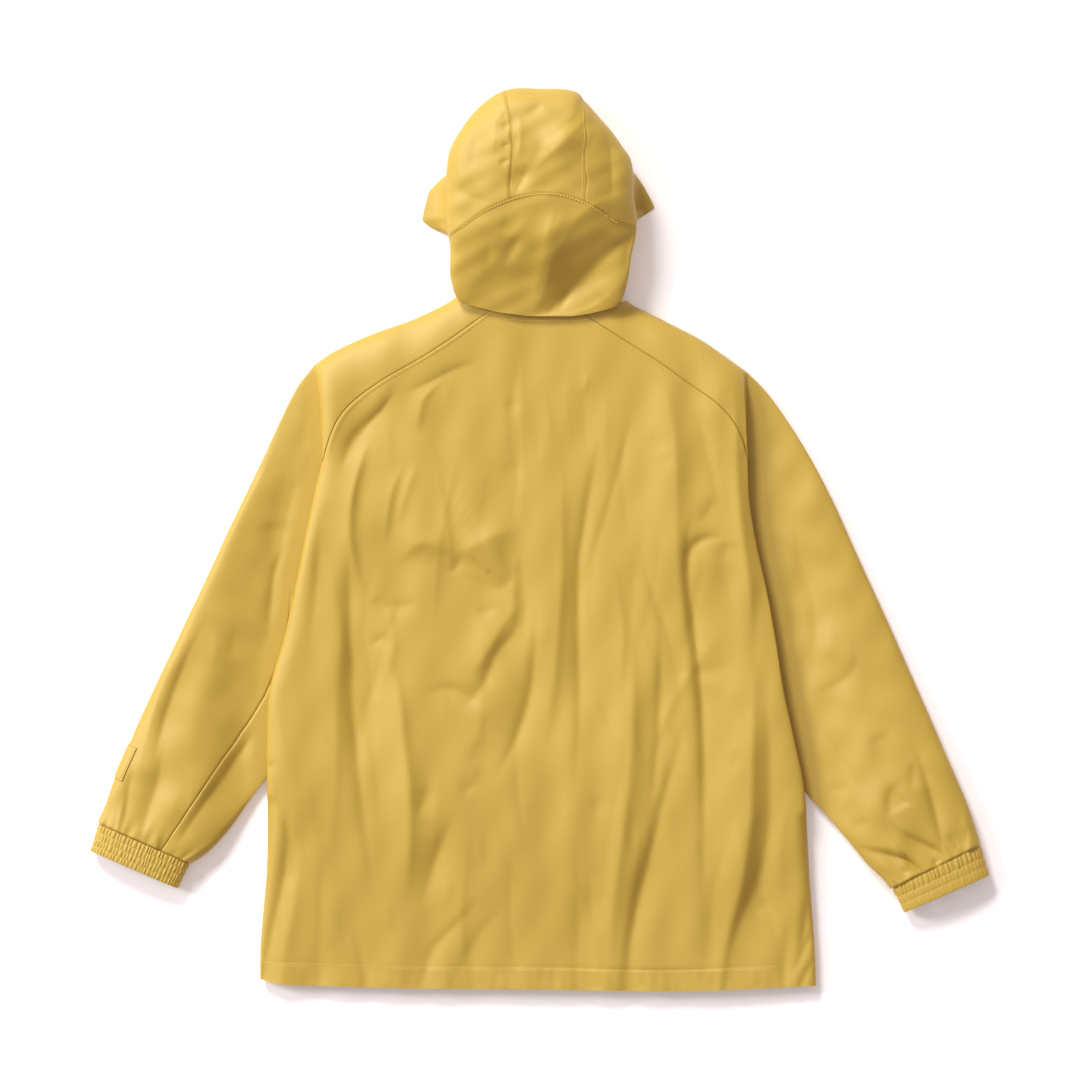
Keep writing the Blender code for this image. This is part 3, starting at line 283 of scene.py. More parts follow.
# Hood seams: points (x, y) on the dome, and the bearings of their ends on the cut edge.
HOOD_ARC = (
    (-0.0900, 0.3490),
    (-0.0674, 0.3650),
    (-0.0355, 0.3800),
    (-0.0060, 0.3872),
    (0.0230, 0.3862),
    (0.0510, 0.3770),
    (0.0700, 0.3660),
    (0.0880, 0.3550),
)
HOOD_ARC_ENDS = (201.0, 347.0)
HOOD_ARC_JOINTS = (3, 6)      # places on that seam where the upright seams meet it
HOOD_SEAMS = ((
    (-0.0355, 0.3800),
    (-0.0330, 0.4270),
    (-0.0337, 0.4490),
    (-0.0370, 0.4800),
), (
    (0.0510, 0.3770),
    (0.0505, 0.4270),
    (0.0528, 0.4490),
    (0.0510, 0.4780),
))
HOOD_SEAM_ENDS = (107.0, 68.0)
HOOD_SIDE_TOP = 9.0           # degrees of the cut edge that end a side panel at its top
HOOD_BACK_CORNERS = (226.0, 311.0)    # bearings of the lower back panel's neck corners

# ---------------------------------------------------------------- creases, mm
# Each crease: the points (x, y) of its line from its upper or left end, half width on
# its left (or below), on its right (or above), and height. A trough's is negative.
BODY_FOLDS = (
    (((-162, 181), (-167, 164), (-175, 148), (-193, 130), (-209, 112), (-218, 92),
      (-222, 74)), 7, 21, -4.5),
    (((-189, 119), (-199, 90), (-209, 56), (-213, 22), (-211, -11), (-204, -42),
      (-195, -65)), 17, 7, 4.5),
    (((-151, 88), (-165, 56), (-171, 22), (-174, -9)), 12, 5, 2.0),
    (((-135, 90), (-145, 67), (-154, 39), (-161, 9)), 9, 7, 1.5),
    (((-106, 181), (-128, 161), (-135, 140), (-137, 116)), 17, 6, 2.2),
    (((-153, 164), (-129, 174), (-95, 191), (-67, 198)), 21, 7, -2.2),
    (((-181, -72), (-152, -74), (-137, -67)), 11, 6, -1.2),
    (((-190, -65), (-180, -74), (-166, -88)), 5, 11, -1.1),
    (((-74, -83), (-60, -80), (-45, -74)), 7, 6, -0.9),
    (((-243, 45), (-248, -11), (-252, -67), (-263, -135)), 7, 26, -2.0),
    (((-213, 45), (-213, -22), (-213, -67), (-212, -124), (-209, -191), (-202, -270), (-193, -348),
      (-184, -404)), 12, 32, -6.2),
    (((-176, -112), (-159, -168), (-152, -230), (-146, -281), (-146, -348), (-151, -410)), 30, 9, 4.6),
    (((-127, -270), (-130, -292), (-137, -312)), 6, 12, -1.5),
    (((-94, -301), (-111, -343), (-120, -368), (-133, -416)), 10, 22, -3.2),
    (((-63, -396), (-86, -423), (-117, -455), (-130, -485), (-145, -542)), 6, 14, -1.6),
    (((-29, -396), (-63, -435), (-75, -455), (-89, -481), (-105, -532)), 6, 14, -0.9),
    (((-18, -81), (-31, -106), (-47, -124), (-56, -144), (-65, -164), (-76, -177),
      (-92, -193)), 9, 15, -3.2),
    (((-130, -173), (-107, -166), (-90, -170), (-74, -179), (-56, -189)), 13, 8, -2.6),
    (((-67, -219), (-72, -238), (-79, -256)), 5, 12, -1.0),
    (((-91, -285), (-79, -279), (-69, -266)), 5, 12, -1.1),
    (((-280, -270), (-283, -326), (-286, -371), (-294, -410), (-303, -449), (-312, -500),
      (-326, -618)), 9, 22, -4.0),
    (((-267, -326), (-272, -382), (-279, -427), (-288, -472), (-294, -562)), 13, 12, 2.2),
    (((-243, -337), (-245, -404), (-249, -500), (-251, -590)), 7, 18, -1.4),
    (((-210, -427), (-201, -466), (-194, -511), (-190, -558)), 6, 11, -1.3),
    (((-310, -258), (-304, -255), (-295, -248)), 5, 4, -1.5),
    (((-190, -118), (-181, -112), (-172, -104)), 7, 5, -1.4),
    (((-4, -56), (-6, -124), (-10, -168), (-20, -204), (-33, -236), (-56, -275)), 9, 29, -4.8),
    (((69, 124), (62, 90), (54, 45), (49, 11), (44, -22), (43, -67), (43, -124), (44, -180), (41, -247),
      (34, -314)), 8, 19, -4.0),
    (((24, 112), (25, 22), (24, -45), (20, -112), (13, -180), (0, -258)), 24, 9, 3.2),
    (((54, 189), (51, 175), (47, 159)), 6, 4, 0.8),
    (((129, 213), (144, 157), (151, 112), (153, 67), (153, 11), (157, -45), (164, -112),
      (171, -202)), 38, 24, 6.4),
    (((171, 163), (184, 112), (195, 73), (200, 28)), 10, 21, -2.0),
    (((216, 180), (220, 124), (222, 56), (228, 0), (236, -67), (240, -135)), 26, 10, 4.8),
    (((176, 45), (166, 11), (164, -22), (166, -56), (171, -90), (175, -124), (179, -163), (182, -213),
      (183, -281), (182, -359), (180, -438)), 6, 18, -5.0),
    (((211, 4), (193, 3), (179, -1), (168, -11), (165, -29), (164, -56)), 5, 10, -2.6),
    (((197, 52), (188, 31), (173, 15)), 7, 12, -1.4),
    (((208, 0), (208, -13), (204, -29)), 9, 11, -1.1),
    (((99, -90), (104, -146), (104, -202), (101, -258), (95, -314), (85, -382), (80, -449),
      (78, -584)), 28, 12, 4.6),
    (((135, -79), (135, -146), (133, -202), (129, -258), (121, -320)), 6, 12, -2.6),
    (((168, -185), (154, -236), (139, -286), (130, -326), (121, -359), (110, -404), (102, -449),
      (98, -500), (92, -629)), 9, 20, -4.4),
    (((113, -292), (109, -348), (101, -404), (90, -472), (80, -571)), 21, 8, 1.7),
    (((244, -112), (240, -180), (238, -247), (236, -314), (227, -382), (213, -438), (202, -500),
      (162, -741)), 32, 11, 5.8),
    (((252, -135), (254, -180), (257, -247), (256, -314), (247, -371), (231, -410), (218, -444),
      (208, -494), (168, -809)), 10, 26, -3.4),
    (((279, -410), (277, -449), (274, -489), (272, -532)), 6, 10, -1.5),
    (((299, -393), (298, -421), (295, -444), (290, -472)), 5, 9, -2.4),
    (((309, -432), (301, -449), (292, -469), (283, -489)), 4, 7, -1.7),
    (((312, -461), (301, -481), (292, -500), (288, -517)), 4, 7, -1.7),
    (((258, -399), (249, -410), (240, -425)), 5, 11, -0.8),
    (((38, -320), (44, -393), (42, -477), (41, -563)), 10, 29, -1.7),
    (((-45, 148), (-31, 151), (-20, 147)), 11, 5, -0.6),
    (((-45, 83), (-31, 80), (-18, 84)), 11, 5, -0.6),
    (((144, -144), (180, -148), (219, -140)), 11, 9, -1.0),
    (((168, -157), (208, -168), (230, -197)), 8, 12, 1.0),
    (((-219, -67), (-227, -168), (-229, -270), (-236, -359)), 21, 10, 2.0),
    (((-162, -29), (-148, -13), (-136, -4), (-121, -3), (-106, -12), (-92, -29)), 13, 40, 4.2),
    (((-92, -29), (-82, -12), (-67, -3), (-48, 6), (-18, 13)), 30, 22, 5.2),
    (((-117, -26), (-99, -34), (-90, -25), (-80, -8)), 5, 6, -1.2),
    (((-112, -30), (-67, -48), (-45, -54), (-28, -39), (-17, -22)), 14, 12, -1.8),
    (((-15, -62), (-39, -92), (-62, -130), (-78, -152)), 14, 11, 2.2),
)
FOLD_SCALE = 1.3              # of all creases of the body and the sleeves
NECK_CALM = 0.262             # those of the body end at this y, under the hood
NECK_CALM_FADE = 0.04         # after fading over this distance
# Faint creases by chance: seed, number, box of their middles, bearing in degrees, then
# least and greatest length, narrow half width and height.
STRAY_BODY = (
    (7, 64, ((-300, -480), (300, 180)), -88, (90, 260), (4.5, 12.0), (0.55, 1.45)),
    (8, 50, ((-280, -460), (280, 170)), -75, (25, 70), (3.0, 5.5), (0.30, 0.65)),
)
STRAY_TURN = 11               # spread of their bearings, in degrees
STRAY_BOW = 0.09              # spread of their bows, as a share of half their length
STRAY_WIDER = (1.4, 2.6)      # width of the wide half, in narrow ones
SLEEVE_FOLDS = (
    (((-285, 129), (-303, 93), (-318, 62), (-334, 34), (-349, 2), (-365, -27), (-382, -55), (-395, -84),
      (-405, -112), (-416, -137), (-426, -166), (-435, -197), (-441, -222), (-449, -250),
      (-458, -285)), 13, 21, 7.6),
    (((-306, 63), (-281, 58), (-252, 53)), 23, 10, -1.3),
    (((-321, 10), (-292, 13), (-261, 9)), 28, 8, -1.8),
    (((-284, -3), (-297, -34), (-301, -67), (-304, -124)), 7, 11, -2.4),
    (((-341, -95), (-345, -118), (-346, -137)), 6, 12, -1.0),
    (((-362, -95), (-364, -124), (-368, -148)), 10, 7, 0.8),
    (((-298, -186), (-317, -213), (-337, -240), (-358, -271), (-380, -301), (-398, -328),
      (-413, -352)), 7, 30, -4.4),
    (((-296, -259), (-327, -291), (-358, -327), (-379, -356)), 28, 7, 3.4),
    (((-456, -250), (-461, -281), (-467, -319)), 7, 12, -3.2),
    (((-420, -219), (-425, -253), (-429, -275), (-437, -298), (-444, -320),
      (-450, -346)), 13, 16, -4.0),
    (((-402, -270), (-409, -298), (-420, -328)), 10, 9, 0.5),
    (((286, 31), (292, -22), (306, -67), (309, -112), (302, -139)), 14, 21, -3.0),
    (((350, -108), (354, -135), (345, -153), (325, -166), (301, -176)), 9, 34, -2.4),
    (((323, -81), (326, -112), (319, -139)), 16, 11, 1.2),
    (((366, -222), (381, -224), (396, -212)), 18, 5, -0.9),
    (((407, -270), (395, -279), (391, -291), (392, -303), (396, -311)), 6, 24, -2.3),
    (((420, -244), (417, -264), (418, -283)), 5, 16, -1.6),
    (((418, -225), (429, -256), (437, -281), (444, -309), (450, -339), (458, -376)), 7, 11, -3.8),
    (((382, -314), (404, -327), (418, -335), (434, -343), (446, -349), (456, -361),
      (467, -377)), 10, 3, -4.2),
    (((346, -339), (368, -347), (391, -352), (410, -357), (423, -366), (436, -380),
      (447, -395)), 11, 3, -4.8),
    (((454, -340), (461, -336), (467, -343), (464, -353)), 3, 5, -1.8),
    (((478, -317), (478, -330), (481, -346)), 3, 5, -1.8),
    (((487, -321), (490, -332), (493, -344)), 3, 5, -1.3),
    (((438, -357), (444, -361), (447, -366)), 3, 5, -1.6),
    (((404, -374), (410, -371), (418, -375)), 5, 3, -1.3),
    (((317, -286), (335, -279), (350, -283)), 16, 8, -1.2),
    (((348, -321), (358, -318), (371, -314)), 12, 4, -1.2),
    (((-368, -76), (-391, -121), (-402, -148), (-412, -174), (-421, -202), (-428, -230),
      (-434, -258)), 8, 17, -4.2),
)
# Flat facets of the hood: a half width may change from one end to the other.
HOOD_FACETS = (
    (((150, 383), (114, 350), (79, 322), (46, 290), (20, 264), (-14, 228)), (72, 22), (46, 24), -13.0),
    (((-12, 408), (4, 424), (22, 440), (44, 462), (60, 482)), 26, 12, 4.0),
)
HOOD_FOLDS = (
    (((30, 374), (19, 350), (9, 323), (-1, 292), (-8, 261)), 13, 34, 4.5),
    (((-22, 344), (-29, 326), (-42, 303)), 16, 6, -4.2),
    (((-49, 350), (-36, 346), (-24, 339)), 4, 9, -2.0),
    (((-60, 340), (-57, 317), (-60, 290)), 8, 7, -1.6),
    (((38, 285), (29, 270), (19, 253)), 4, 4, -2.2),
    (((18, 371), (10, 346), (1, 312)), 7, 4, 1.6),
    (((-2, 436), (18, 447), (49, 465)), 38, 11, 5.5),
    (((-12, 420), (-20, 400), (-29, 384)), 15, 7, -4.0),
    (((1, 490), (-4, 481), (-18, 473)), 6, 6, -1.8),
    (((-45, 476), (-39, 474), (-33, 475)), 3, 3, -1.4),
    (((-45, 464), (-38, 462), (-33, 464)), 3, 3, -1.4),
    (((-44, 441), (-38, 440), (-33, 443)), 3, 3, -1.4),
    (((-48, 421), (-40, 421), (-33, 427)), 3, 4, -1.8),
    (((-25, 481), (-22, 449), (-26, 418)), 6, 7, 2.0),
    (((71, 469), (78, 438), (80, 404), (81, 373)), 19, 13, -4.5),
    (((-49, 485), (-51, 449), (-54, 425)), 7, 7, 1.4),
    (((-99, 398), (-79, 384), (-54, 375)), 9, 11, -2.2),
    (((-67, 472), (-74, 438), (-79, 402)), 8, 10, -1.2),
)

# ---------------------------------------------------------------- looks
CLOTH_DEEP = (0.482, 0.309, 0.028)
CLOTH_PALE = (0.520, 0.336, 0.034)
CLOTH_ROUGHNESS = 0.60
CLOTH_SPECULAR = 0.85
# Noises in the cloth: scale, detail.
TONE_NOISE = (9.0, 4.0)
GRAIN_NOISE = (260.0, 3.0)
WEAVE_NOISE = (1500.0, 2.0)
WEAVE_STRENGTH = 0.10
WEAVE_DEPTH = 0.0003
THREAD_COLOUR = (0.68, 0.48, 0.11)
TOP_THREAD_COLOUR = (0.80, 0.56, 0.15)
THREAD_ROUGHNESS = 0.85
THREAD_SPECULAR = 0.15
FLOOR_GLOW = 0.16
FLOOR_COLOUR = (0.96, 0.925, 0.955)
FLOOR_ROUGHNESS = 0.95
FLOOR_LEVEL = -0.0005
FLOOR_HALF = 6.0              # half the side of its square
# Soft lights, all aimed at the middle: name, place, size, power.
LIGHTS = (
    ("key", (-4.8, 9.6, 7.8), 4.0, 1440.0),
    ("side", (-10.0, 3.6, 6.6), 4.0, 930.0),
    ("overhead", (-2.0, 1.0, 10.0), 9.0, 120.0),
)
LIGHT_COLOUR = (0.97, 1.0, 0.985)
SKY_COLOUR = (1.0, 0.84, 0.79)
SKY_STRENGTH = 0.42
CAMERA_HEIGHT = 12.0
SHOWN_WIDTH = 1.2105          # width that the picture shows
SHOWN_LEVEL = 0.020           # at this height over the floor
SENSOR_MM = 36.0

# ---------------------------------------------------------------- small relief
# Faint unevenness: height, stretch along y, seed, waves, their least and greatest length.
BODY_RIPPLE = (0.0010, 0.4, 3, 14, 0.030, 0.080)
SLEEVE_RIPPLE = (0.0007, 1.0, 5, 14, 0.035, 0.090)
HOOD_RIPPLE = (0.0007, 1.0, 21, 14, 0.020, 0.060)
HEM_PUCKER = (0.0003, 0.3, 8, 10, 0.007, 0.022)
PUCKER_RISE = 0.003           # the hem's puckers grow over this distance from its edge
PUCKER_PAST = 0.004           # and end this far past its stitches
PUCKER_FADE = 0.008           # after fading over this distance
GROOVE_HALF = 0.0009          # half width of a sewn groove
HEM_GROOVE = 0.0006           # its depth at the hem
RAGLAN_GROOVE = 0.0007        # and at the raglan seams
UNDERARM_GROOVE = {LEFT: 0.0013, RIGHT: 0.0004}   # and down each sleeve
UNDERARM_START = 14           # section at which that groove begins
UNDERARM_GROWTH = 1.5         # sections over which it gets its depth
ALLOWANCE = 0.0004            # lift of the body over the raglan seam's allowance
ALLOWANCE_FROM = 0.002        # it rises over this distance from the seam
ALLOWANCE_TO = 0.0075         # and ends at this distance
ALLOWANCE_FADE = 0.003        # after fading over this one
SEAM_START = 0.4              # sections above the armpit over which both begin
HOOD_GROOVE = 0.0004
HOOD_GROOVE_HALF = 0.0010
HOOD_LAP = 0.0012             # lift of a panel's edge that lies over the next one's
HOOD_LAP_HALF = 0.0020
HOOD_LAP_FADE = 0.15          # share of the hood's radius over which it fades out at the brow
# Pleats that run up a sleeve from its cuff, by chance between two values each.
PLEAT_SEED = 11
PLEAT_HALF = (0.0026, 0.0060)
PLEAT_HEIGHT = (0.0010, 0.0030)
PLEAT_REACH = (0.012, 0.050)
PLEAT_LEAN = (-0.25, 0.25)
PLEAT_SPACING = (1.6, 2.6)    # in half widths
PLEAT_SHOWN = 0.008           # they flatten within this height of the floor
PLEAT_END = 0.35              # share of their height that is left at the cuff's seam
CUFF_SINK = 0.0008            # the sleeve sinks in this far at that seam
CUFF_SINK_REACH = 0.0022      # over this distance
CUFF_ROW = 0.030              # length of a section of the sleeve at the cuff
# Bands of a cuff between rows of elastic: start, end, gathers, their height, puff.
CUFF_BANDS = {LEFT: (
    (0.00, 0.27, 56, 0.0013, 0.0002),
    (0.27, 0.52, 56, 0.0011, 0.0002),
    (0.52, 0.77, 57, 0.0011, 0.0002),
    (0.77, 1.00, 56, 0.0010, 0.0002),
), RIGHT: (
    (0.00, 0.36, 44, 0.0015, 0.0002),
    (0.36, 0.66, 52, 0.0005, 0.0004),
    (0.66, 1.00, 50, 0.0004, 0.0004),
)}
CUFF_SEED = 40
BAND_CURVE = 0.35             # how full a band is between two rows of elastic
RIB_CURVE = 0.8               # how sharp its gathers are
RIB_WAVES = (3, 5, 8, 13, 19)     # waves round the cuff that make them uneven in width
RIB_DRIFT = (0.4, 1.1)        # how far each wave moves them, in radians
RIB_LEAN = 0.5                # how far they lean, in radians
RIB_LEAN_WAVES = 9
RIB_UNEVEN = 0.25             # share by which their heights differ
RIB_UNEVEN_WAVES = 17
RIB_PHASES = (1.2, 1.5, 6.0)  # most by which gathers, their waves and heights are shifted
RIB_FADE = 0.004              # they flatten within this height of the floor

# ---------------------------------------------------------------- seams and sewing
# Underarm seam of a sleeve: its place between the inner edge (0) and the outer (1),
# by section of the sleeve.
UNDERARM = {LEFT: (
    (13, 0.20), (17, 0.274), (18, 0.334), (19, 0.341),
    (20, 0.345), (21, 0.358), (22, 0.354), (23, 0.313),
), RIGHT: (
    (13, 0.20), (17, 0.270), (18, 0.317), (19, 0.344),
    (20, 0.324), (21, 0.324), (22, 0.322), (23, 0.310),
)}
UNDERARM_BLEND = 3.0          # sections over which the columns turn to follow it
STITCH_PITCH = 0.0034
STITCH_LENGTH = 0.0026
STITCH_SUNK = -0.1            # depth of its axis, in radii
STITCH_SHAPE = (0.45, 0.95, 1.0, 0.95, 0.45)   # radii along one stitch
STITCH_SIDES = 6
THREAD = 0.00042              # radius of the thread
TOP_THREAD = 0.0007           # and of the thicker one
TOP_STITCHED = ("stitch_hood_arc", "stitch_neck")
HEM_STITCH = 0.0237           # distance of each run of stitches from its edge or seam
RAGLAN_STITCH = 0.0034
HOOD_STITCH = 0.0030
ARC_STITCH = 0.0016
HEM_STITCH_END = 0.005        # the hem's run ends this far inside the side edges
HEM_STITCH_LEFT = 0.0008      # and its left end is moved up by this
RAGLAN_BARE = (0.4, 1.6)      # sections left bare at the armpit and at the neck
RAGLAN_POINTS = 120
NECK_STITCH = ((-0.047, 0.2475), (0.0, 0.2452), (0.031, 0.2450), (0.062, 0.2475))
RAY_HEIGHT = 0.5              # stitches are dropped on to the cloth from this height

# ---------------------------------------------------------------- grids
# Columns that follow each side of the back: their distances from its edge, as shares of
# the turned part and then on top, and from a raglan seam.
UNDER_SHARES = (-1.0, -0.8, -0.6, -0.4, -0.2, 0.0)
TOP_DISTANCES = (0.0006, 0.0014, 0.0025, 0.0040, 0.0060, 0.0085, 0.0115, 0.0145, 0.0175,
                 0.0205, 0.0235, 0.0265, 0.0300)
SEAM_DISTANCES = (0.0, 0.0004, 0.0009, 0.0014, 0.0020, 0.0027, 0.0035, 0.0045, 0.0058,
                  0.0072, 0.0088, 0.0106, 0.0126, 0.0150, 0.0177, 0.0205, 0.0240, 0.0290,
                  0.0345)
BAND = len(SEAM_DISTANCES)
EVEN_COLUMNS = 160            # between the two bands
LAST_COLUMN = 2 * BAND + EVEN_COLUMNS - 2
TURN_FADE = 0.5               # rows below the armpit over which the turned edge runs out
EDGE_TO_SEAM = 0.5            # rows over which the edge goes over to the raglan seam
SEAM_SPREAD = (-0.6, 2.0)     # rows from the armpit between which the columns part
ROW_PITCH = 0.0033            # distance between two rows of the back
HEM_STITCH_ROWS = (0.384, 0.402, 0.420, 0.438, 0.456)   # and more rows at its hem's groove
FRONT_EDGE_END = 8            # row of SIDE_EDGES where the front's free side edge ends
FRONT_EDGE_ROWS = 40          # rows of the front up to there
FRONT_SEWN_PARTS = 3          # rows above it to each section of the sleeve
FRONT_HEM_ROWS = 5            # rows over which its hem's curve fades out
FRONT_COLUMNS = 40            # columns across its middle
FLAT_STEPS = 5                # columns on its edge where that lies flat
LEAST_FLAT = 0.002            # least width of that
RAMP_STEPS = 9                # columns on the climb to a sleeve
RAMP_REACH = 1.5              # and how far they go on, as a share of its run
TOP_STEPS = 12                # units of column over the top of a sleeve
FLOOR_STEPS = 8               # and beneath it
TOP_GRID = 88                 # columns over the top
FLOOR_GRID = 30               # and beneath it
SLEEVE_PITCH = 0.0032         # distance between two rows of a sleeve
CAP_LIP_ROWS = 8              # rows from the cap's last section to the next
CUFF_CLOSE_ROWS = (0.01, 0.03, 0.06, 0.10)    # rows close to the cuff, in sections from it
SEAM_COLUMN_SHARE = 0.37      # place across a sleeve of the column that its seam takes
SEAM_TURN = np.arccos(2 * SEAM_COLUMN_SHARE - 1)    # and turn over its top
SEAM_COLUMN = TOP_STEPS * (1 - SEAM_TURN / np.pi)
SEAM_COLUMN_MM = 19.0         # millimetres per unit of column there
SEAM_CLOSE_MM = (-3.0, -1.6, -0.8, 0.0, 0.8, 1.6, 3.0)    # columns close to that seam
SEAM_CLEAR_MM = 3.6           # which take the place of the even ones within this
PATCH_GRID = 60
CUFF_GRID = 560
CUFF_GRID_ROWS = 44
CUFF_TURN_POINTS = 1441       # points from which a cuff's even ones are read
HOOD_SIDE_STEPS = 56
HOOD_CENTRE_STEPS = 52
HOOD_UP_STEPS = 76
HOOD_DOWN_STEPS = 64
HOOD_BACK_COLUMNS = 110
DRAWN_BOTH = 0.14             # how far the hood's columns draw together at two sewn sides
DRAWN_ONE = 0.22              # and at one
LOOKUP_STEPS = 8              # points between two rows of a table that is looked up
DENSE_STEPS = 60              # and where distances along the garment are measured
SEAM_STEP = 0.02              # sections to each side over which a seam's direction is taken
FOLD_STEPS = 4                # straight parts between two points of a crease's line
FOLD_END = 0.42               # share of its length over which a crease fades in or out
FOLD_TIP = 0.45               # and its width at its tips
FOLD_REACH = 3.0              # half widths within which a crease has any height
SOFT, CRISP = 1.3, 1.2        # a crease's section: 2 is a soft wave, 1 two flats and an edge
FACET_FADE = 0.22             # share of the hood's radius over which its facets fade out
HOOD_FOLD_END = 1.04          # its creases end at this share
HOOD_FOLD_FADE = 0.08         # and fade out over this one
PATH_STEPS = 24               # points of a stitched path to each of its table's
SHARP_ANGLE = 55.0            # edges bent by more degrees than this stay sharp


# ---------------------------------------------------------------- curves
def smooth(share):
    """0 to 1, with level ends."""
    share = np.clip(share, 0.0, 1.0)
    return share * share * (3.0 - 2.0 * share)


def unit(vectors):
    return vectors / np.linalg.norm(vectors, axis=-1, keepdims=True)


def along(table, place):
    """A table's rows read as a smooth curve; place counts its rows, with fractions."""
    rows = np.asarray(table, float)
    rows = np.vstack([2 * rows[0] - rows[1], rows, 2 * rows[-1] - rows[-2]])
    place = np.asarray(place, float)
    first = np.clip(np.floor(place).astype(int), 0, len(rows) - 4)
    share = (place - first)[..., None]
    a, b, c, d = (rows[first + step] for step in range(4))
    bend = 2 * a - 5 * b + 4 * c - d + share * (3 * (b - c) + d - a)
    return b + 0.5 * share * (c - a + share * bend)


def lookup(table, column, key):
    """One column of a table, smoothed, at values of its first column."""
    dense = along(table, np.linspace(0, len(table) - 1, LOOKUP_STEPS * len(table)))
    return np.interp(key, dense[:, 0], dense[:, column])


def distance_gone(points):
    """Distance along a line from its first point to each."""
    steps = np.linalg.norm(np.diff(points, axis=0), axis=1)
    return np.concatenate([[0], np.cumsum(steps)])


def even_places(points, places, count):
    """Places on a line that part it into equal lengths, from those of its points."""
    gone = distance_gone(points)
    return np.interp(np.linspace(0, gone[-1], count + 1), gone, places)


def rise(distance, width):
    """Share of the height inside a turned edge: upright at it, level past the width."""
    share = np.clip(distance / width, 0.0, 1.0)
    return (1.0 - (1.0 - share) ** EDGE_CURVE) ** (1 / EDGE_CURVE)


def groove(distance, half=GROOVE_HALF):
    """1 on a line of stitching, 0 away from it."""
    return np.exp(-((distance / half) ** 2))


def fold_height(folds, x, y, sharpness=SOFT):
    """Height of the creases at places in metres: troughs and ridges along curves."""
    x, y = np.broadcast_arrays(x / MM, y / MM)
    total = np.zeros(x.shape)
    for points, left_half, right_half, height in folds:
        count = FOLD_STEPS * (len(points) - 1)
        curve = along(points, np.linspace(0, len(points) - 1, count + 1))
        reach = FOLD_REACH * max(np.max(left_half), np.max(right_half))
        low, high = curve.min(axis=0) - reach, curve.max(axis=0) + reach
        near = (x > low[0]) & (x < high[0]) & (y > low[1]) & (y < high[1])
        if not near.any():
            continue
        distance, turn, place = nearest_on(curve, np.column_stack([x[near], y[near]]))
        taper = smooth(place / FOLD_END) * smooth((1 - place) / FOLD_END)
        first, last = (np.broadcast_to(half, 2) for half in (left_half, right_half))
        left, right = (half[0] + (half[1] - half[0]) * place for half in (first, last))
        half = np.where(turn > 0, right, left) * (FOLD_TIP + (1 - FOLD_TIP) * taper)
        share = distance / half
        section = np.exp(-(share**sharpness)) if sharpness else np.clip(1 - share, 0.0, 1.0)
        total[near] += height * MM * taper * section
    return total


def nearest_on(curve, spots):
    """Distance of spots from a curve, on which side they lie, and their place along it."""
    nearest = np.full(len(spots), np.inf)
    turn, place = np.zeros(len(spots)), np.zeros(len(spots))
    for step, (a, b) in enumerate(zip(curve, curve[1:])):
        way = b - a
        part = np.clip((spots - a) @ way / (way @ way), 0.0, 1.0)
        away = spots - a - part[:, None] * way
        squared = (away**2).sum(axis=1)
        closer = squared < nearest
        nearest = np.where(closer, squared, nearest)
        turn = np.where(closer, way[0] * away[:, 1] - way[1] * away[:, 0], turn)
        place = np.where(closer, (step + part) / (len(curve) - 1), place)
    return np.sqrt(nearest), turn, place


def stray_folds(seed, count, box, bearing, lengths, halves, heights):
    """Rows of faint creases by chance, mostly along one bearing, for fold_height. In mm."""
    chance = np.random.default_rng(seed)
    rows = []
    for _ in range(count):
        centre = chance.uniform(box[0], box[1])
        angle = np.radians(bearing + chance.normal(0, STRAY_TURN))
        way = np.array([np.cos(angle), np.sin(angle)])
        reach = chance.uniform(*lengths) / 2
        bow = chance.normal(0, STRAY_BOW) * reach * np.array([-way[1], way[0]])
        points = [centre - reach * way, centre + bow, centre + reach * way]
        narrow = chance.uniform(*halves)
        sign = chance.choice((-1, 1))
        wide = narrow * chance.uniform(*STRAY_WIDER)
        pair = (narrow, wide) if sign < 0 else (wide, narrow)
        rows.append((points, *pair, sign * chance.uniform(*heights)))
    return rows


def ripple(x, y, height, stretch, seed, waves, shortest, longest):
    """Faint unevenness, the same on each run."""
    chance = np.random.default_rng(seed)
    total = np.zeros(np.broadcast(x, y).shape)
    for _ in range(waves):
        bearing, phase = chance.uniform(0, np.pi), chance.uniform(0, 2 * np.pi)
        number = 2 * np.pi / chance.uniform(shortest, longest)
        way = x * np.cos(bearing) + stretch * y * np.sin(bearing)
        total = total + np.sin(number * way + phase)
    return height * total / np.sqrt(waves)


ALL_BODY_FOLDS = BODY_FOLDS + tuple(row for stray in STRAY_BODY for row in stray_folds(*stray))


# ---------------------------------------------------------------- walls
def add_piece(name, points, faces):
    """A smooth mesh in the scene."""
    mesh = bpy.data.meshes.new(name)
    mesh.from_pydata(points, [], faces)
    mesh.shade_smooth()
    piece = bpy.data.objects.new(name, mesh)
    bpy.context.scene.collection.objects.link(piece)
    return piece


def grid_normals(grid, outward=1):
    """Unit normals of a grid (rows, columns, xyz); outward is +1 or -1."""
    across = np.gradient(grid, axis=1)
    down = np.gradient(grid, axis=0)
    return outward * unit(np.cross(across, down))


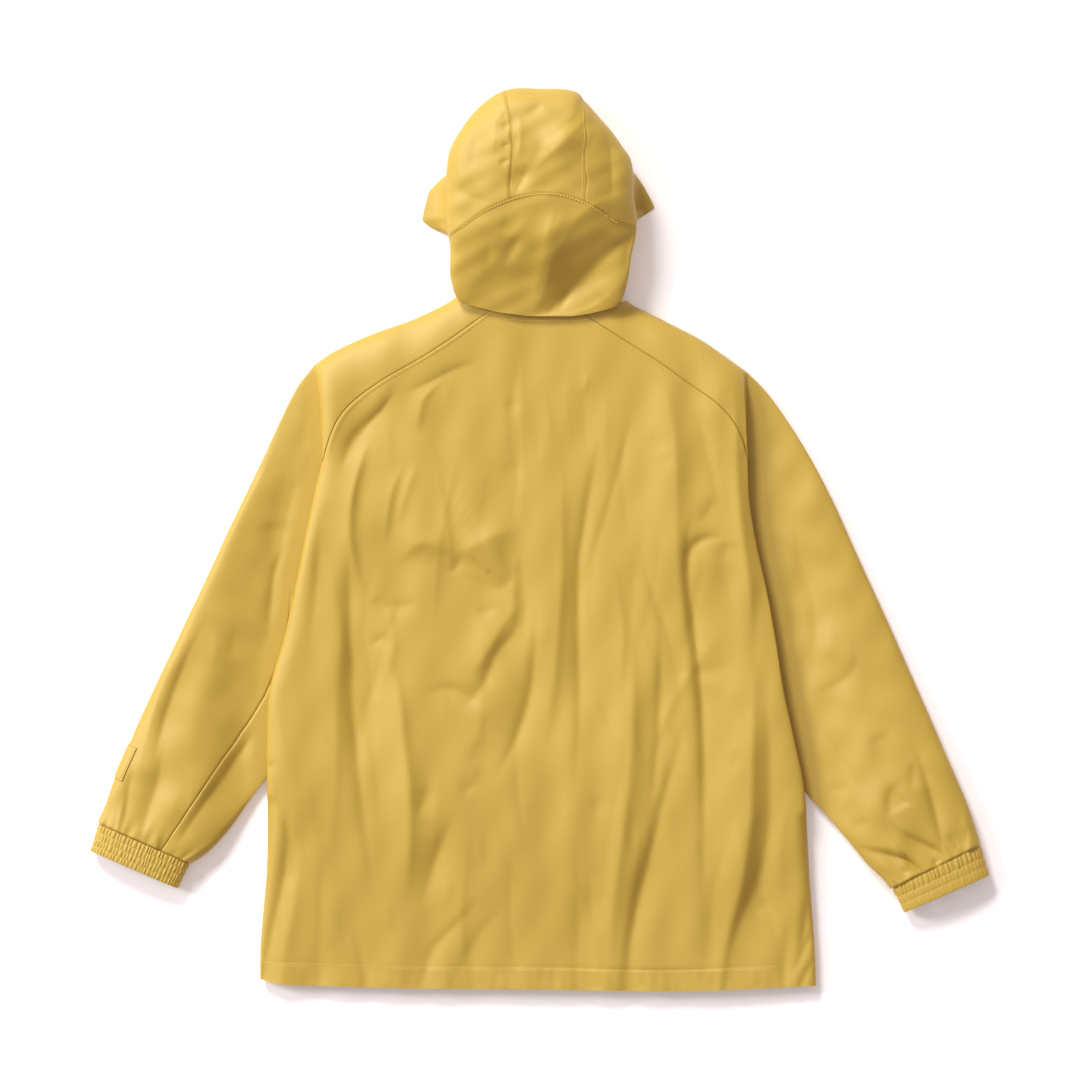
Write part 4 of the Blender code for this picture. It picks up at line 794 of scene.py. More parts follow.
def add_wall(name, outer, inner, joined=None):
    """A closed wall between two grids (rows, columns, xyz).

    In a joined row the last column is the first one again, so the row is a ring.
    """
    row_count, column_count = outer.shape[:2]
    joined = np.zeros(row_count, bool) if joined is None else np.asarray(joined)
    out = np.arange(row_count * column_count).reshape(row_count, column_count)
    out[joined, -1] = out[joined, 0]
    back = out + out.size

    def quads(a, b, c, d):
        return np.stack([a, b, c, d], axis=-1).reshape(-1, 4)

    open_rows = ~(joined[:-1] & joined[1:])
    faces = np.concatenate([
        quads(out[:-1, :-1], out[:-1, 1:], out[1:, 1:], out[1:, :-1]),
        quads(back[:-1, :-1], back[1:, :-1], back[1:, 1:], back[:-1, 1:]),
        quads(out[0, 1:], out[0, :-1], back[0, :-1], back[0, 1:]),
        quads(out[-1, :-1], out[-1, 1:], back[-1, 1:], back[-1, :-1]),
        quads(out[:-1, 0], out[1:, 0], back[1:, 0], back[:-1, 0])[open_rows],
        quads(out[1:, -1], out[:-1, -1], back[:-1, -1], back[1:, -1])[open_rows],
    ])
    points = np.concatenate([outer.reshape(-1, 3), inner.reshape(-1, 3)])
    middle = outer.reshape(-1, 3)[faces[: (row_count - 1) * (column_count - 1)]]
    facing = np.cross(middle[:, 1] - middle[:, 0], middle[:, 3] - middle[:, 0])
    outwards = (outer - inner)[:-1, :-1].reshape(-1, 3)
    if (facing * outwards).sum() < 0:
        faces = faces[:, ::-1]
    used, faces = np.unique(faces, return_inverse=True)
    piece = add_piece(name, points[used], faces.reshape(-1, 4).tolist())
    piece.data.set_sharp_from_angle(angle=np.radians(SHARP_ANGLE))
    return piece


# ---------------------------------------------------------------- body
def side_edge(side, y):
    """x of the body's left or right edge."""
    return lookup(SIDE_EDGES, 1 if side == LEFT else 2, y)


def crossed_edge(side, y):
    """x of the sleeve's inner edge, where the front climbs over it."""
    tube = np.asarray(TUBES[side])[CLOSED_TUBE - CAP_ROWS:]
    return np.interp(np.minimum(y + WING_LEAD, tube[1, 1]), tube[::-1, 1], tube[::-1, 0])


def climb(side, x, y):
    """0 where the front lies on the floor, 1 where it lies on a sleeve."""
    return smooth(1.0 + side * (x - crossed_edge(side, y)) / WING_RAMP)


def landing(side, y):
    """Height at which the back's side edge lands, on the front or over a sleeve."""
    margin = side_edge(side, y) - side * FRONT_MARGIN
    over = np.where(y > TUBE_TOP, 1.0, climb(side, margin, y))
    return LAYER + FRONT_GAP + over * (PRESSED + SEAM_GAP)


def turn_height(side, y):
    """Height of the back's turned side edge above where it lands."""
    over = smooth((y - EDGE_LOW) / (EDGE_FULL - EDGE_LOW)) * smooth((EDGE_END - y) / EDGE_FADE)
    return EDGE_TURN + (EDGE_TURN_MOST[side] - EDGE_TURN) * over


def body_height(x, y):
    """Outer surface of the back and of the raglan caps, above the floor."""
    left, right = side_edge(LEFT, y), side_edge(RIGHT, y)
    across = np.clip((x - left) / (right - left), 0.0, 1.0)
    edge = (1 - across) * (landing(LEFT, y) + turn_height(LEFT, y))
    edge = edge + across * (landing(RIGHT, y) + turn_height(RIGHT, y))
    inside = rise(x - left, SIDE_ROUND) * rise(right - x, SIDE_ROUND)
    shoulder = rise((lookup(SHOULDER, 1, x) - y) * SHOULDER_LEAN, SHOULDER_ROUND)
    top = HEM_TOP + (CROWN - HEM_TOP) * smooth((y - lookup(HEM, 1, x)) / HEM_RISE)
    calm = smooth((NECK_CALM - y) / NECK_CALM_FADE)
    top = top + FOLD_SCALE * calm * fold_height(ALL_BODY_FOLDS, x, y)
    top = top + ripple(x, y, *BODY_RIPPLE)
    return OUTLINE_EDGE + shoulder * (edge + (top - edge) * inside - OUTLINE_EDGE)


def seam_point(side, place, inward):
    """Point of a raglan seam, moved towards the body; place counts up from the armpit."""
    table = np.asarray(CAPS[side])[::-1, :2]
    here = along(table, place)
    way = unit(along(table, place + SEAM_STEP) - along(table, place - SEAM_STEP))
    return here - inward * side * np.stack([way[..., 1], -way[..., 0]], axis=-1)


def body_end(side, row):
    """End (x, y) of a body row, on the turned side edge or above it on a raglan seam."""
    folded = along(SIDE_EDGES, np.minimum(row, ARMPIT))
    folded = np.stack([folded[..., 1 if side == LEFT else 2], folded[..., 0]], axis=-1)
    place = np.maximum(row - ARMPIT, 0.0)
    clear = SEAM_GAP * (0.5 + np.exp(-place))[..., None]    # wider at the armpit, where it bends
    sewn = seam_point(side, place, clear)
    is_seam = smooth((row - ARMPIT + EDGE_TO_SEAM) / EDGE_TO_SEAM)[..., None]
    return folded * (1 - is_seam) + sewn * is_seam


def edge_distance(column, row):
    """Distance from the body's end, along the cloth, of a column that follows it."""
    fade = smooth((ARMPIT - row) / TURN_FADE)
    spread = smooth((row - ARMPIT - SEAM_SPREAD[0]) / (SEAM_SPREAD[1] - SEAM_SPREAD[0]))
    places = np.arange(BAND)
    last_under = len(UNDER_SHARES) - 1
    under = np.interp(column, places[:last_under + 1], UNDER_SHARES) * UNDER_LENGTH * fade
    on_top = np.interp(column, places[last_under:], (0.0, *TOP_DISTANCES))
    rolled = np.where(column < last_under, under, on_top)
    return rolled + (np.interp(column, places, SEAM_DISTANCES) - rolled) * spread


def back_grid(column, row):
    """Outer surface of the back: columns from left to right, rows from hem to neck."""
    ends = {side: body_end(side, row) for side in (LEFT, RIGHT)}
    reach = edge_distance(BAND - 1, row)
    left, right = ends[LEFT][..., 0] + reach, ends[RIGHT][..., 0] - reach
    x = left + (right - left) * np.clip((column - BAND + 1) / EVEN_COLUMNS, 0.0, 1.0)
    under = np.zeros(np.shape(column))
    from_end = np.ones(np.shape(column))
    for side, steps in ((LEFT, column), (RIGHT, LAST_COLUMN - column)):
        near = steps < BAND
        distance = edge_distance(np.minimum(steps, BAND - 1), row)
        x = np.where(near, ends[side][..., 0] - side * np.maximum(distance, 0.0), x)
        under = np.where(near, np.maximum(-distance, 0.0) * side, under)
        from_end = np.where(near, np.maximum(distance, 0.0), from_end)
    width = ends[RIGHT][..., 0] - ends[LEFT][..., 0]
    across = np.clip((x - ends[LEFT][..., 0]) / width, 0.0, 1.0)
    y = ends[LEFT][..., 1] + (ends[RIGHT][..., 1] - ends[LEFT][..., 1]) * across
    y = y + (lookup(HEM, 1, x) - SIDE_EDGES[0][0]) * np.clip(1 - row, 0.0, 1.0)
    y = y + NECK_BOW * np.sin(np.pi * across) * smooth(row - ARMPIT - CAP_ROWS + 2)
    turn = np.abs(under) / UNDER_LENGTH * np.pi / 2
    turned = np.where(under < 0, turn_height(LEFT, y), turn_height(RIGHT, y))
    z = body_height(x, y) - turned * np.sin(turn) + back_relief(x, y, row, from_end)
    x = x - np.sign(under) * TURN_UNDER * (1 - np.cos(turn))
    return np.stack([x, y, z], axis=-1)


def back_relief(x, y, row, from_end):
    """Grooves of the back's seams, and the lift of what lies beneath its hem and seams."""
    above_hem = y - lookup(HEM, 1, x)
    lift = -HEM_GROOVE * groove(above_hem - HEM_STITCH)
    in_hem = smooth((HEM_STITCH + PUCKER_PAST - above_hem) / PUCKER_FADE)
    lift = lift + smooth(above_hem / PUCKER_RISE) * in_hem * ripple(x, y, *HEM_PUCKER)
    sewn = smooth((row - ARMPIT) / SEAM_START)
    lift = lift - sewn * RAGLAN_GROOVE * groove(from_end)
    beneath = smooth(from_end / ALLOWANCE_FROM)
    beneath = beneath * smooth((ALLOWANCE_TO - from_end) / ALLOWANCE_FADE)
    return lift + sewn * ALLOWANCE * beneath


def even_rows(line, extra=()):
    """Row places of the back whose distance along a line of its table is about the pitch."""
    dense = np.linspace(0, len(line) - 1, DENSE_STEPS * len(line))
    points = along(line, dense)
    count = int(np.ceil(distance_gone(points)[-1] / ROW_PITCH))
    rows = even_places(points, dense, count)
    return np.unique(np.round(np.concatenate([rows, extra]), 5))


def make_back():
    """The back panel, from its hem to the neck."""
    side_line = [(row[0],) for row in SIDE_EDGES[:ARMPIT + 1]]
    seam_line = [(row[1],) for row in CAPS[LEFT][::-1]]
    rows = np.concatenate([
        even_rows(side_line, HEM_STITCH_ROWS)[:-1],
        ARMPIT + even_rows(seam_line),
    ])
    row, column = np.meshgrid(rows, np.arange(LAST_COLUMN + 1.0), indexing="ij")
    outer = back_grid(column, row)
    return add_wall("back_cloth", outer, outer - CLOTH * grid_normals(outer))


def front_side(side):
    """Row ends of the front, from hem to neck."""
    body = along(SIDE_EDGES, np.linspace(0, FRONT_EDGE_END, FRONT_EDGE_ROWS))
    points = [(row[1 if side == LEFT else 2] - side * FRONT_MARGIN, row[0]) for row in body]
    tube = TUBES[side][:CLOSED_TUBE - CAP_ROWS + 1]
    sewn = [row[4:6] for row in tube[::-1]] + [row[3:5] for row in CAPS[side][::-1]]
    sewn = along(sewn, np.linspace(0, len(sewn) - 1, FRONT_SEWN_PARTS * len(sewn)))
    return np.array(points + [(x - side * FRONT_GAP, y) for x, y in sewn])


def edge_columns(side, end, y):
    """x of the front's columns that follow one side edge, from the edge inwards."""
    flat = max(side * (end - crossed_edge(side, y)), LEAST_FLAT)
    inwards = np.concatenate([
        flat * np.linspace(0, 1, FLAT_STEPS + 1),
        flat + WING_RAMP * np.linspace(0, RAMP_REACH, RAMP_STEPS + 1)[1:],
    ])
    return end - side * inwards


def make_front():
    """The front: flat on the floor, its side edges lying up on the sleeves."""
    rows = []
    slit = FRONT_COLUMNS // 2 - 1
    for (left, left_y), (right, right_y) in zip(front_side(LEFT), front_side(RIGHT)):
        from_left = edge_columns(LEFT, left, left_y)
        from_right = edge_columns(RIGHT, right, right_y)
        middle = np.linspace(from_left[-1], from_right[-1], FRONT_COLUMNS + 1)[1:-1]
        middle[slit - 1:slit + 2] = (-SLIT_HALF, 0.0, SLIT_HALF)
        x = np.concatenate([from_left, middle, from_right[::-1]])
        y = left_y + (right_y - left_y) * (x - left) / (right - left)
        rows.append(np.stack([x, y], axis=-1))
    rows = np.array(rows)
    x, y = rows[..., 0], rows[..., 1]
    near_hem = np.clip(1 - np.arange(len(rows)) / FRONT_HEM_ROWS, 0.0, 1.0)[:, None]
    y = y + (lookup(HEM, 1, x) - SIDE_EDGES[0][0] + FRONT_MARGIN) * near_hem
    neck_curve = np.cos(np.pi / 2 * np.clip(x / NECK_HALF, -1, 1)) ** 2
    y = y - FRONT_NECK_DROP * smooth(y / NECK_BLEND) * neck_curve
    centre = x.shape[1] // 2
    length = y[-1, centre] - y[0, centre]
    y[:, centre] = y[0, centre] + (y[:, centre] - y[0, centre]) * (1 - SLIT_DEPTH / length)
    lying_up = (climb(LEFT, x, y) + climb(RIGHT, x, y)) * smooth(y / TUBE_TOP)
    z = (PRESSED + SEAM_GAP) * lying_up
    outer = np.stack([x, y, z], axis=-1)
    return add_wall("front_cloth", outer, outer + (0, 0, LAYER))


# ---------------------------------------------------------------- sleeves
def sleeve_section(side, row):
    """A sleeve's section at a row: inner, outer and front seam (x, y), top, edge height."""
    on_cap = np.minimum(row, CAP_ROWS - 1.0)
    cap_here = along(CAPS[side], on_cap)
    seam = seam_point(side, CAP_ROWS - 1 - on_cap, -SEAM_GAP / 2)
    shoulder = np.stack([cap_here[..., 2], lookup(SHOULDER, 1, cap_here[..., 2])], axis=-1)
    flat = np.full(np.shape(row), OUTLINE_EDGE)[..., None]
    cap_row = np.concatenate([seam, shoulder, cap_here[..., 3:5], 2 * flat, flat], axis=-1)
    tube_row = along(TUBES[side], np.maximum(row - CAP_ROWS, 0.0))
    low = smooth(row - CAP_ROWS + 1)[..., None]
    return cap_row * (1 - low) + tube_row * low


def top_turn(side, column, row, start):
    """Turn of a column over the top of a sleeve, one column drawn over to the underarm seam."""
    top = start * np.clip(1 - column / TOP_STEPS, 0.0, 1.0)
    seam_share = np.interp(row, *np.array(UNDERARM[side]).T)
    shift = np.arccos(2 * seam_share - 1) - SEAM_TURN
    shift = shift * smooth((row - CLOSED_TUBE) / UNDERARM_BLEND)
    return top + shift * smooth(top / SEAM_TURN) * smooth((np.pi - top) / (np.pi - SEAM_TURN))


def sleeve_grid(side, column, row):
    """Outer surface of one sleeve: columns round it, rows from neck to cuff."""
    section = sleeve_section(side, row)
    inner, outer, front = section[..., 0:2], section[..., 2:4], section[..., 4:6]
    height, edge = section[..., 6], section[..., 7]
    start = np.pi * (1 - 0.5 * np.clip(CLOSED_TUBE - row, 0.0, 1.0))
    top = top_turn(side, column, row, start)
    floor = start * np.clip((column - TOP_STEPS) / FLOOR_STEPS, 0.0, 1.0)
    to_outer = ((np.cos(top) - np.cos(start)) / (1 - np.cos(start)))[..., None]
    to_front = ((1 - np.cos(floor)) / (1 - np.cos(start)))[..., None]
    over = inner + (outer - inner) * to_outer
    under = outer + (front - outer) * to_front
    place = np.where((column <= TOP_STEPS)[..., None], over, under)
    x, y = place[..., 0], place[..., 1]

    outside = side * (x - side_edge(side, y)) - PRESSED_PAST
    loose = PRESSED + (height - PRESSED) * smooth(outside / FREE_WITHIN)
    folds = FOLD_SCALE * fold_height(SLEEVE_FOLDS, x, y) + ripple(x, y, *SLEEVE_RIPPLE)
    loose = loose + folds * smooth(outside / FOLDS_FROM)
    low = edge + (loose - edge) * np.sin(np.clip(top, 0.0, np.pi)) ** TOP_CURVE
    from_seam = np.where(row < CAP_ROWS, np.linalg.norm(place - inner, axis=-1), 1.0)
    on_cap = body_height(x, y) - RAGLAN_GROOVE * groove(from_seam)
    on_body = smooth(CAP_ROWS - row)
    z_top = on_body * on_cap + (1 - on_body) * low
    depth = UNDERARM_GROOVE[side] * smooth((row - UNDERARM_START) / UNDERARM_GROWTH)
    z_top = z_top - depth * groove((column - SEAM_COLUMN) * SEAM_COLUMN_MM * MM)
    z_floor = edge * (1 - np.sin(floor) ** FLOOR_CURVE)
    z = np.where(column <= TOP_STEPS, z_top, z_floor)
    return np.stack([x, y, z], axis=-1)


def sleeve_normals(outer, side, joined):
    """Unit normals of a sleeve's grid, the same where a ring's ends meet."""
    normal = grid_normals(outer, -side)
    mean = unit(normal[joined, 0] + normal[joined, -1])
    normal[joined, 0] = mean
    normal[joined, -1] = mean
    return normal


def gathers(grid, normal, rows, side):
    """A sleeve's grid with soft pleats that run up from the cuff, by chance uneven."""
    chance = np.random.default_rng(PLEAT_SEED + side)
    round_it = distance_gone(grid[-1])
    lift = np.zeros(grid.shape[:2])
    to_cuff = (SLEEVE_END - rows)[:, None] * CUFF_ROW
    spot = 0.0
    while spot < round_it[-1]:
        width = chance.uniform(*PLEAT_HALF)
        height = chance.uniform(*PLEAT_HEIGHT)
        reach = chance.uniform(*PLEAT_REACH)
        place = spot + chance.uniform(*PLEAT_LEAN) * to_cuff
        fade = smooth(1 - to_cuff / reach)
        lift += height * fade * np.exp(-(((round_it[None] - place) / width) ** 2))
        spot += width * chance.uniform(*PLEAT_SPACING)
    lift *= smooth(grid[..., 2] / PLEAT_SHOWN)
    up_from_seam = smooth(to_cuff / CUFF_SINK_REACH)
    lift = lift * (PLEAT_END + (1 - PLEAT_END) * up_from_seam) - CUFF_SINK * (1 - up_from_seam)
    return grid + normal * lift[..., None]


def make_sleeve(side):
    """One sleeve, from neck to cuff."""
    top = np.linspace(0, TOP_STEPS, TOP_GRID + 1)
    top = top[np.abs(top - SEAM_COLUMN) > SEAM_CLEAR_MM / SEAM_COLUMN_MM]
    close = SEAM_COLUMN + np.array(SEAM_CLOSE_MM) / SEAM_COLUMN_MM
    floor = TOP_STEPS + np.linspace(0, FLOOR_STEPS, FLOOR_GRID + 1)[1:]
    columns = np.concatenate([np.sort(np.concatenate([top, close])), floor])

    dense = np.linspace(0, SLEEVE_END, DENSE_STEPS * SLEEVE_END)
    section = sleeve_section(side, dense)
    middle = 0.5 * (section[:, 0:2] + section[:, 2:4])
    rows = even_places(middle, dense, int(distance_gone(middle)[-1] / SLEEVE_PITCH))
    lip = np.linspace(CAP_ROWS - 1, CAP_ROWS, CAP_LIP_ROWS)
    close = SLEEVE_END - np.array(CUFF_CLOSE_ROWS)
    rows = np.unique(np.round(np.concatenate([rows, lip, close, [CLOSED_TUBE]]), 5))

    row, column = np.meshgrid(rows, columns, indexing="ij")
    outer = sleeve_grid(side, column, row)
    joined = rows >= CLOSED_TUBE
    outer[joined, -1] = outer[joined, 0]
    outer = gathers(outer, sleeve_normals(outer, side, joined), rows, side)
    outer[joined, -1] = outer[joined, 0]
    inner = outer - CLOTH * sleeve_normals(outer, side, joined)
    return add_wall("sleeve_" + SIDES[side] + "_cloth", outer, inner, joined)


def make_patch():
    """The bare label patch, sewn on round the outer edge of the left sleeve."""
    rows = np.linspace(*PATCH_ROWS, PATCH_GRID)
    columns = np.linspace(*PATCH_COLUMNS, PATCH_GRID)
    row, column = np.meshgrid(rows, columns, indexing="ij")
    base = sleeve_grid(LEFT, column, row)
    normal = grid_normals(base)
    inset = np.linalg.norm(base - base[:, :1], axis=-1)
    for end in (base[:1], base[-1:]):
        inset = np.minimum(inset, np.linalg.norm(base - end, axis=-1))
    height = PATCH_EDGE + PATCH_CLOTH * rise(inset, PATCH_ROUND)
    height = height - PATCH_GROOVE * groove(inset - PATCH_STITCH, PATCH_GROOVE_HALF)
    lifted = base + PATCH_LIFT * normal
    return add_wall("patch_cloth", lifted + height[..., None] * normal, lifted)


# ---------------------------------------------------------------- cuffs
def cuff_ring(side, share, count):
    """Even points round a cuff, at a share of its length from the sleeve to its free end."""
    start, end = np.array(TUBES[side][-1][:4]), np.array(CUFF_ENDS[side])
    inner_x, inner_y, outer_x, outer_y = start + (end - start) * share
    middle = np.array([inner_x + outer_x, inner_y + outer_y]) / 2
    half = np.array([outer_x - inner_x, outer_y - inner_y]) / 2
    turn = np.linspace(0.0, 2 * np.pi, CUFF_TURN_POINTS)
    above = (CUFF_TOP - CUFF_EDGE) * np.abs(np.sin(turn)) ** CUFF_CURVE
    below = CUFF_EDGE * np.abs(np.sin(turn)) ** FLOOR_CURVE
    level = CUFF_EDGE + np.where(turn <= np.pi, above, -below)
    ring = np.column_stack([middle - half * np.cos(turn)[:, None], level])
    return np.column_stack([even_places(ring, ring[:, axis], count) for axis in range(3)])


def make_cuff(side):
    """An elasticated cuff: a ring in line with the sleeve's end, in rows of short gathers."""
    ends = np.array(CUFF_ENDS[side]) - TUBES[side][-1][:4]
    length = np.linalg.norm(ends) / np.sqrt(2)
    shares = np.linspace(SEAM_GAP / length, 1.0, CUFF_GRID_ROWS)
    plain = np.array([cuff_ring(side, share, CUFF_GRID) for share in shares])
    across = np.roll(plain[:, :-1], -1, axis=1) - np.roll(plain[:, :-1], 1, axis=1)
    across = np.concatenate([across, across[:, :1]], axis=1)
    down = np.broadcast_to(plain[-1:] - plain[:1], plain.shape)
    normal = -side * unit(np.cross(across, down))
    around = np.linspace(0, 1, CUFF_GRID + 1)[None]
    lift = cuff_relief(side, around, shares[:, None]) * smooth(plain[..., 2] / RIB_FADE)
    outer = plain + normal * lift[..., None]
    joined = np.ones(CUFF_GRID_ROWS, bool)
    return add_wall("cuff_" + SIDES[side] + "_cloth", outer, plain - CLOTH * normal, joined)


def cuff_relief(side, around, down):
    """Height of a cuff's gathers, by place round it and down it (each 0 to 1)."""
    circle = 2 * np.pi * around
    total = np.zeros(np.broadcast(around, down).shape)
    for index, (top, bottom, ribs, height, puff) in enumerate(CUFF_BANDS[side]):
        chance = np.random.default_rng(CUFF_SEED + index + 10 * side)
        inside = np.clip((down - top) / (bottom - top), 0.0, 1.0)
        pillow = np.sin(np.pi * inside) ** BAND_CURVE
        phase = ribs * circle + chance.uniform(0, RIB_PHASES[0])
        for wave in RIB_WAVES:
            drift = chance.uniform(*RIB_DRIFT)
            phase = phase + drift * np.sin(wave * circle + wave + chance.uniform(0, RIB_PHASES[1]))
        phase = phase + RIB_LEAN * (inside - 0.5) * np.sin(RIB_LEAN_WAVES * circle + index)
        swing = np.sin(RIB_UNEVEN_WAVES * circle + chance.uniform(0, RIB_PHASES[2]))
        crest = (0.5 + 0.5 * np.cos(phase)) ** RIB_CURVE
        uneven = 1 - RIB_UNEVEN + RIB_UNEVEN * swing
        total = total + pillow * (puff + height * uneven * crest)
    return total


# ---------------------------------------------------------------- hood
def hood_reach(bearing):
    """Distance of the hood's widest line from its centre, at a bearing in degrees."""
    table = np.array(HOOD_OUTLINE)
    wrapped = np.vstack([table[-3:] - (360, 0), table, table[:3] + (360, 0)])
    return lookup(wrapped, 1, bearing % 360)


def dome_height(flat_share, angle, bearing):
    """Height of the plain dome, and of its edge, at a share of the way out to that edge."""
    low, high, blend = HOOD_SLOPE
    at_neck = smooth((bearing - low) / blend) * smooth((high - bearing) / blend)
    at_neck = at_neck * smooth((flat_share - HOOD_SLOPE_FROM) / HOOD_SLOPE_BLEND)
    lower = flat_share * np.sin(angle) - HOOD_APEX * (1 - flat_share**2)
    out = np.hypot(flat_share * np.cos(angle), lower)
    level = (1.0 - out**HOOD_SQUARE) ** (1 / HOOD_SQUARE)
    level = level + (1.0 - out**HOOD_NECK_SLOPE - level) * at_neck
    edge = HOOD_EDGE + (HOOD_NECK_EDGE - HOOD_EDGE) * at_neck
    return edge + (HOOD_TOP - edge) * level, edge


def hood_creases(x, y, radius):
    """Height of the hood's creases, facets and ripple."""
    facets = fold_height(HOOD_FACETS, x, y, None) * smooth((1.0 - radius) / FACET_FADE)
    folds = fold_height(HOOD_FOLDS, x, y, CRISP) + facets + ripple(x, y, *HOOD_RIPPLE)
    return folds * smooth((HOOD_FOLD_END - radius) / HOOD_FOLD_FADE)


def hood_point(disc):
    """Outer surface of the hood. In disc the apex is (0, 0) and the widest line has radius 1."""
    radius = np.hypot(disc[..., 0], disc[..., 1])
    angle = np.arctan2(disc[..., 1], disc[..., 0])
    bearing = np.degrees(angle) % 360
    reach = hood_reach(bearing)
    wing = np.interp(bearing, *np.array(HOOD_WINGS).T)
    in_wing = np.clip(wing / WING_FULL, 0.0, 1.0)
    below = np.clip((radius - 1) / (HOOD_RIM - 1), 0.0, None)
    tuck = wing - HOOD_TUCK * (1 - in_wing)
    flat = reach * np.sin(np.minimum(radius, 1.0) * np.pi / 2)
    dome, edge = dome_height(np.minimum(flat / reach, 1.0), angle, bearing)
    x = HOOD_CENTRE[0] + (flat + tuck * below**2) * np.cos(angle)
    y = HOOD_CENTRE[1] + (flat + tuck * below**2) * np.sin(angle)
    dome = dome + hood_creases(x, y, radius)

    end_x = HOOD_CENTRE[0] + (reach + tuck) * np.cos(angle)
    end_y = HOOD_CENTRE[1] + (reach + tuck) * np.sin(angle)
    sewn = smooth((bearing - HOOD_NECK[0]) / HOOD_NECK_BLEND + 0.5)
    sewn = sewn * smooth((HOOD_NECK[1] - bearing) / HOOD_NECK_BLEND + 0.5)
    neck = body_height(end_x, end_y) + 2 * SEAM_GAP
    rim = FACE_EDGE + (neck - FACE_EDGE) * sewn
    early = np.where(x > HOOD_CENTRE[0], WING_DROP[RIGHT], WING_DROP[LEFT])
    z = dome - (edge - rim) * below ** (1 - early * in_wing)
    return np.stack([x, y, z], axis=-1)


def on_disc(points):
    """Disc places of points (x, y) on the dome."""
    offset = np.asarray(points, float) - HOOD_CENTRE
    angle = np.arctan2(offset[:, 1], offset[:, 0])
    share = np.hypot(*offset.T) / hood_reach(np.degrees(angle))
    radius = np.arcsin(np.minimum(share, 1.0)) * 2 / np.pi
    return np.column_stack([radius * np.cos(angle), radius * np.sin(angle)])


def on_rim(bearing):
    """Disc places on the hood's cut edge."""
    angle = np.radians(bearing)
    return HOOD_RIM * np.stack([np.cos(angle), np.sin(angle)], axis=-1)


def rim_line(start, stop, shares):
    """Disc places along the hood's cut edge, between two bearings."""
    return on_rim(start + (stop - start) * shares)


def drawn_together(count, first, last):
    """Places from 0 to 1, closer together at the ends that are sewn: one of them or both."""
    even = np.linspace(0, 1, count + 1)
    if first and last:
        return even - DRAWN_BOTH * np.sin(2 * np.pi * even)
    pull = DRAWN_ONE * np.sin(np.pi * even)
    return even - pull * (1 - even) if first else even + pull * even


def fill_patch(bottom, top, left, right, u, v):
    """Grid of a four-sided patch from the points along its sides."""
    u, v = u[None, :, None], v[:, None, None]
    sides = (1 - v) * bottom[None] + v * top[None] + (1 - u) * left[:, None] + u * right[:, None]
    corners = (1 - u) * (1 - v) * bottom[0] + u * (1 - v) * bottom[-1]
    return sides - corners - (1 - u) * v * top[0] - u * v * top[-1]


def add_hood_panel(name, disc, sewn, lapped=None):
    """A hood panel over a grid of disc places.

    sewn names its sides that meet another, and lapped the one that lies on top there.
    """
    middle = disc.mean(axis=(0, 1))
    disc = disc + HOOD_SEAM_HALF * unit(middle - disc)
    outer = hood_point(disc)
    normal = grid_normals(outer)
    sides = {"bottom": outer[:1], "top": outer[-1:], "left": outer[:, :1], "right": outer[:, -1:]}
    for side in sewn:
        distance = np.linalg.norm(outer - sides[side], axis=-1)
        relief = -HOOD_GROOVE * groove(distance, HOOD_GROOVE_HALF)
        if side == lapped:
            inside = smooth((1.0 - np.linalg.norm(disc, axis=-1)) / HOOD_LAP_FADE)
            relief = HOOD_LAP * groove(distance, HOOD_LAP_HALF) * inside
        outer = outer + relief[..., None] * normal
    return add_wall(name + "_cloth", outer, outer - CLOTH * grid_normals(outer))


def make_hood():
    """Side, middle and lower back panels that share one dome."""
    first_end, last_end = HOOD_ARC_ENDS
    arc = np.vstack([on_rim(first_end), on_disc(HOOD_ARC), on_rim(last_end)])
    joints = (0, *HOOD_ARC_JOINTS, len(arc) - 1)
    spans = (
        drawn_together(HOOD_SIDE_STEPS, False, True),
        drawn_together(HOOD_CENTRE_STEPS, True, True),
        drawn_together(HOOD_SIDE_STEPS, True, False),
    )
    up = drawn_together(HOOD_UP_STEPS, True, False)
    seams = []
    for points, bearing, joint in zip(HOOD_SEAMS, HOOD_SEAM_ENDS, HOOD_ARC_JOINTS):
        curve = np.vstack([on_disc(points), on_rim(bearing)])
        curve[0] = arc[joint]
        seams.append(along(curve, len(points) * up))

    # The three upper panels lie between these bearings of the cut edge at their top.
    top_ends = (HOOD_SEAM_ENDS[0] + HOOD_SIDE_TOP, *HOOD_SEAM_ENDS, HOOD_SEAM_ENDS[1] - HOOD_SIDE_TOP)
    uprights = (
        rim_line(first_end, top_ends[0], up),
        *seams,
        rim_line(last_end - 360, top_ends[-1], up),
    )
    names = ("hood_side_left", "hood_centre", "hood_side_right")
    sewn = (("bottom", "right"), ("bottom", "left", "right"), ("bottom", "left"))
    lapped = (None, "left", None)
    panels = {}
    for index, (name, span) in enumerate(zip(names, spans)):
        bottom = along(arc, joints[index] + (joints[index + 1] - joints[index]) * span)
        top = rim_line(top_ends[index], top_ends[index + 1], span)
        disc = fill_patch(bottom, top, uprights[index], uprights[index + 1], span, up)
        panels[name] = add_hood_panel(name, disc, sewn[index], lapped[index])

    even = np.linspace(0, 1, HOOD_BACK_COLUMNS + 1)
    down = drawn_together(HOOD_DOWN_STEPS, False, True)
    neck = rim_line(*HOOD_BACK_CORNERS, even)
    left = rim_line(HOOD_BACK_CORNERS[0], first_end, down)
    right = rim_line(HOOD_BACK_CORNERS[1], last_end, down)
    disc = fill_patch(neck, along(arc, even * (len(arc) - 1)), left, right, even, down)
    panels["hood_back"] = add_hood_panel("hood_back", disc, ("top",), "top")
    return panels


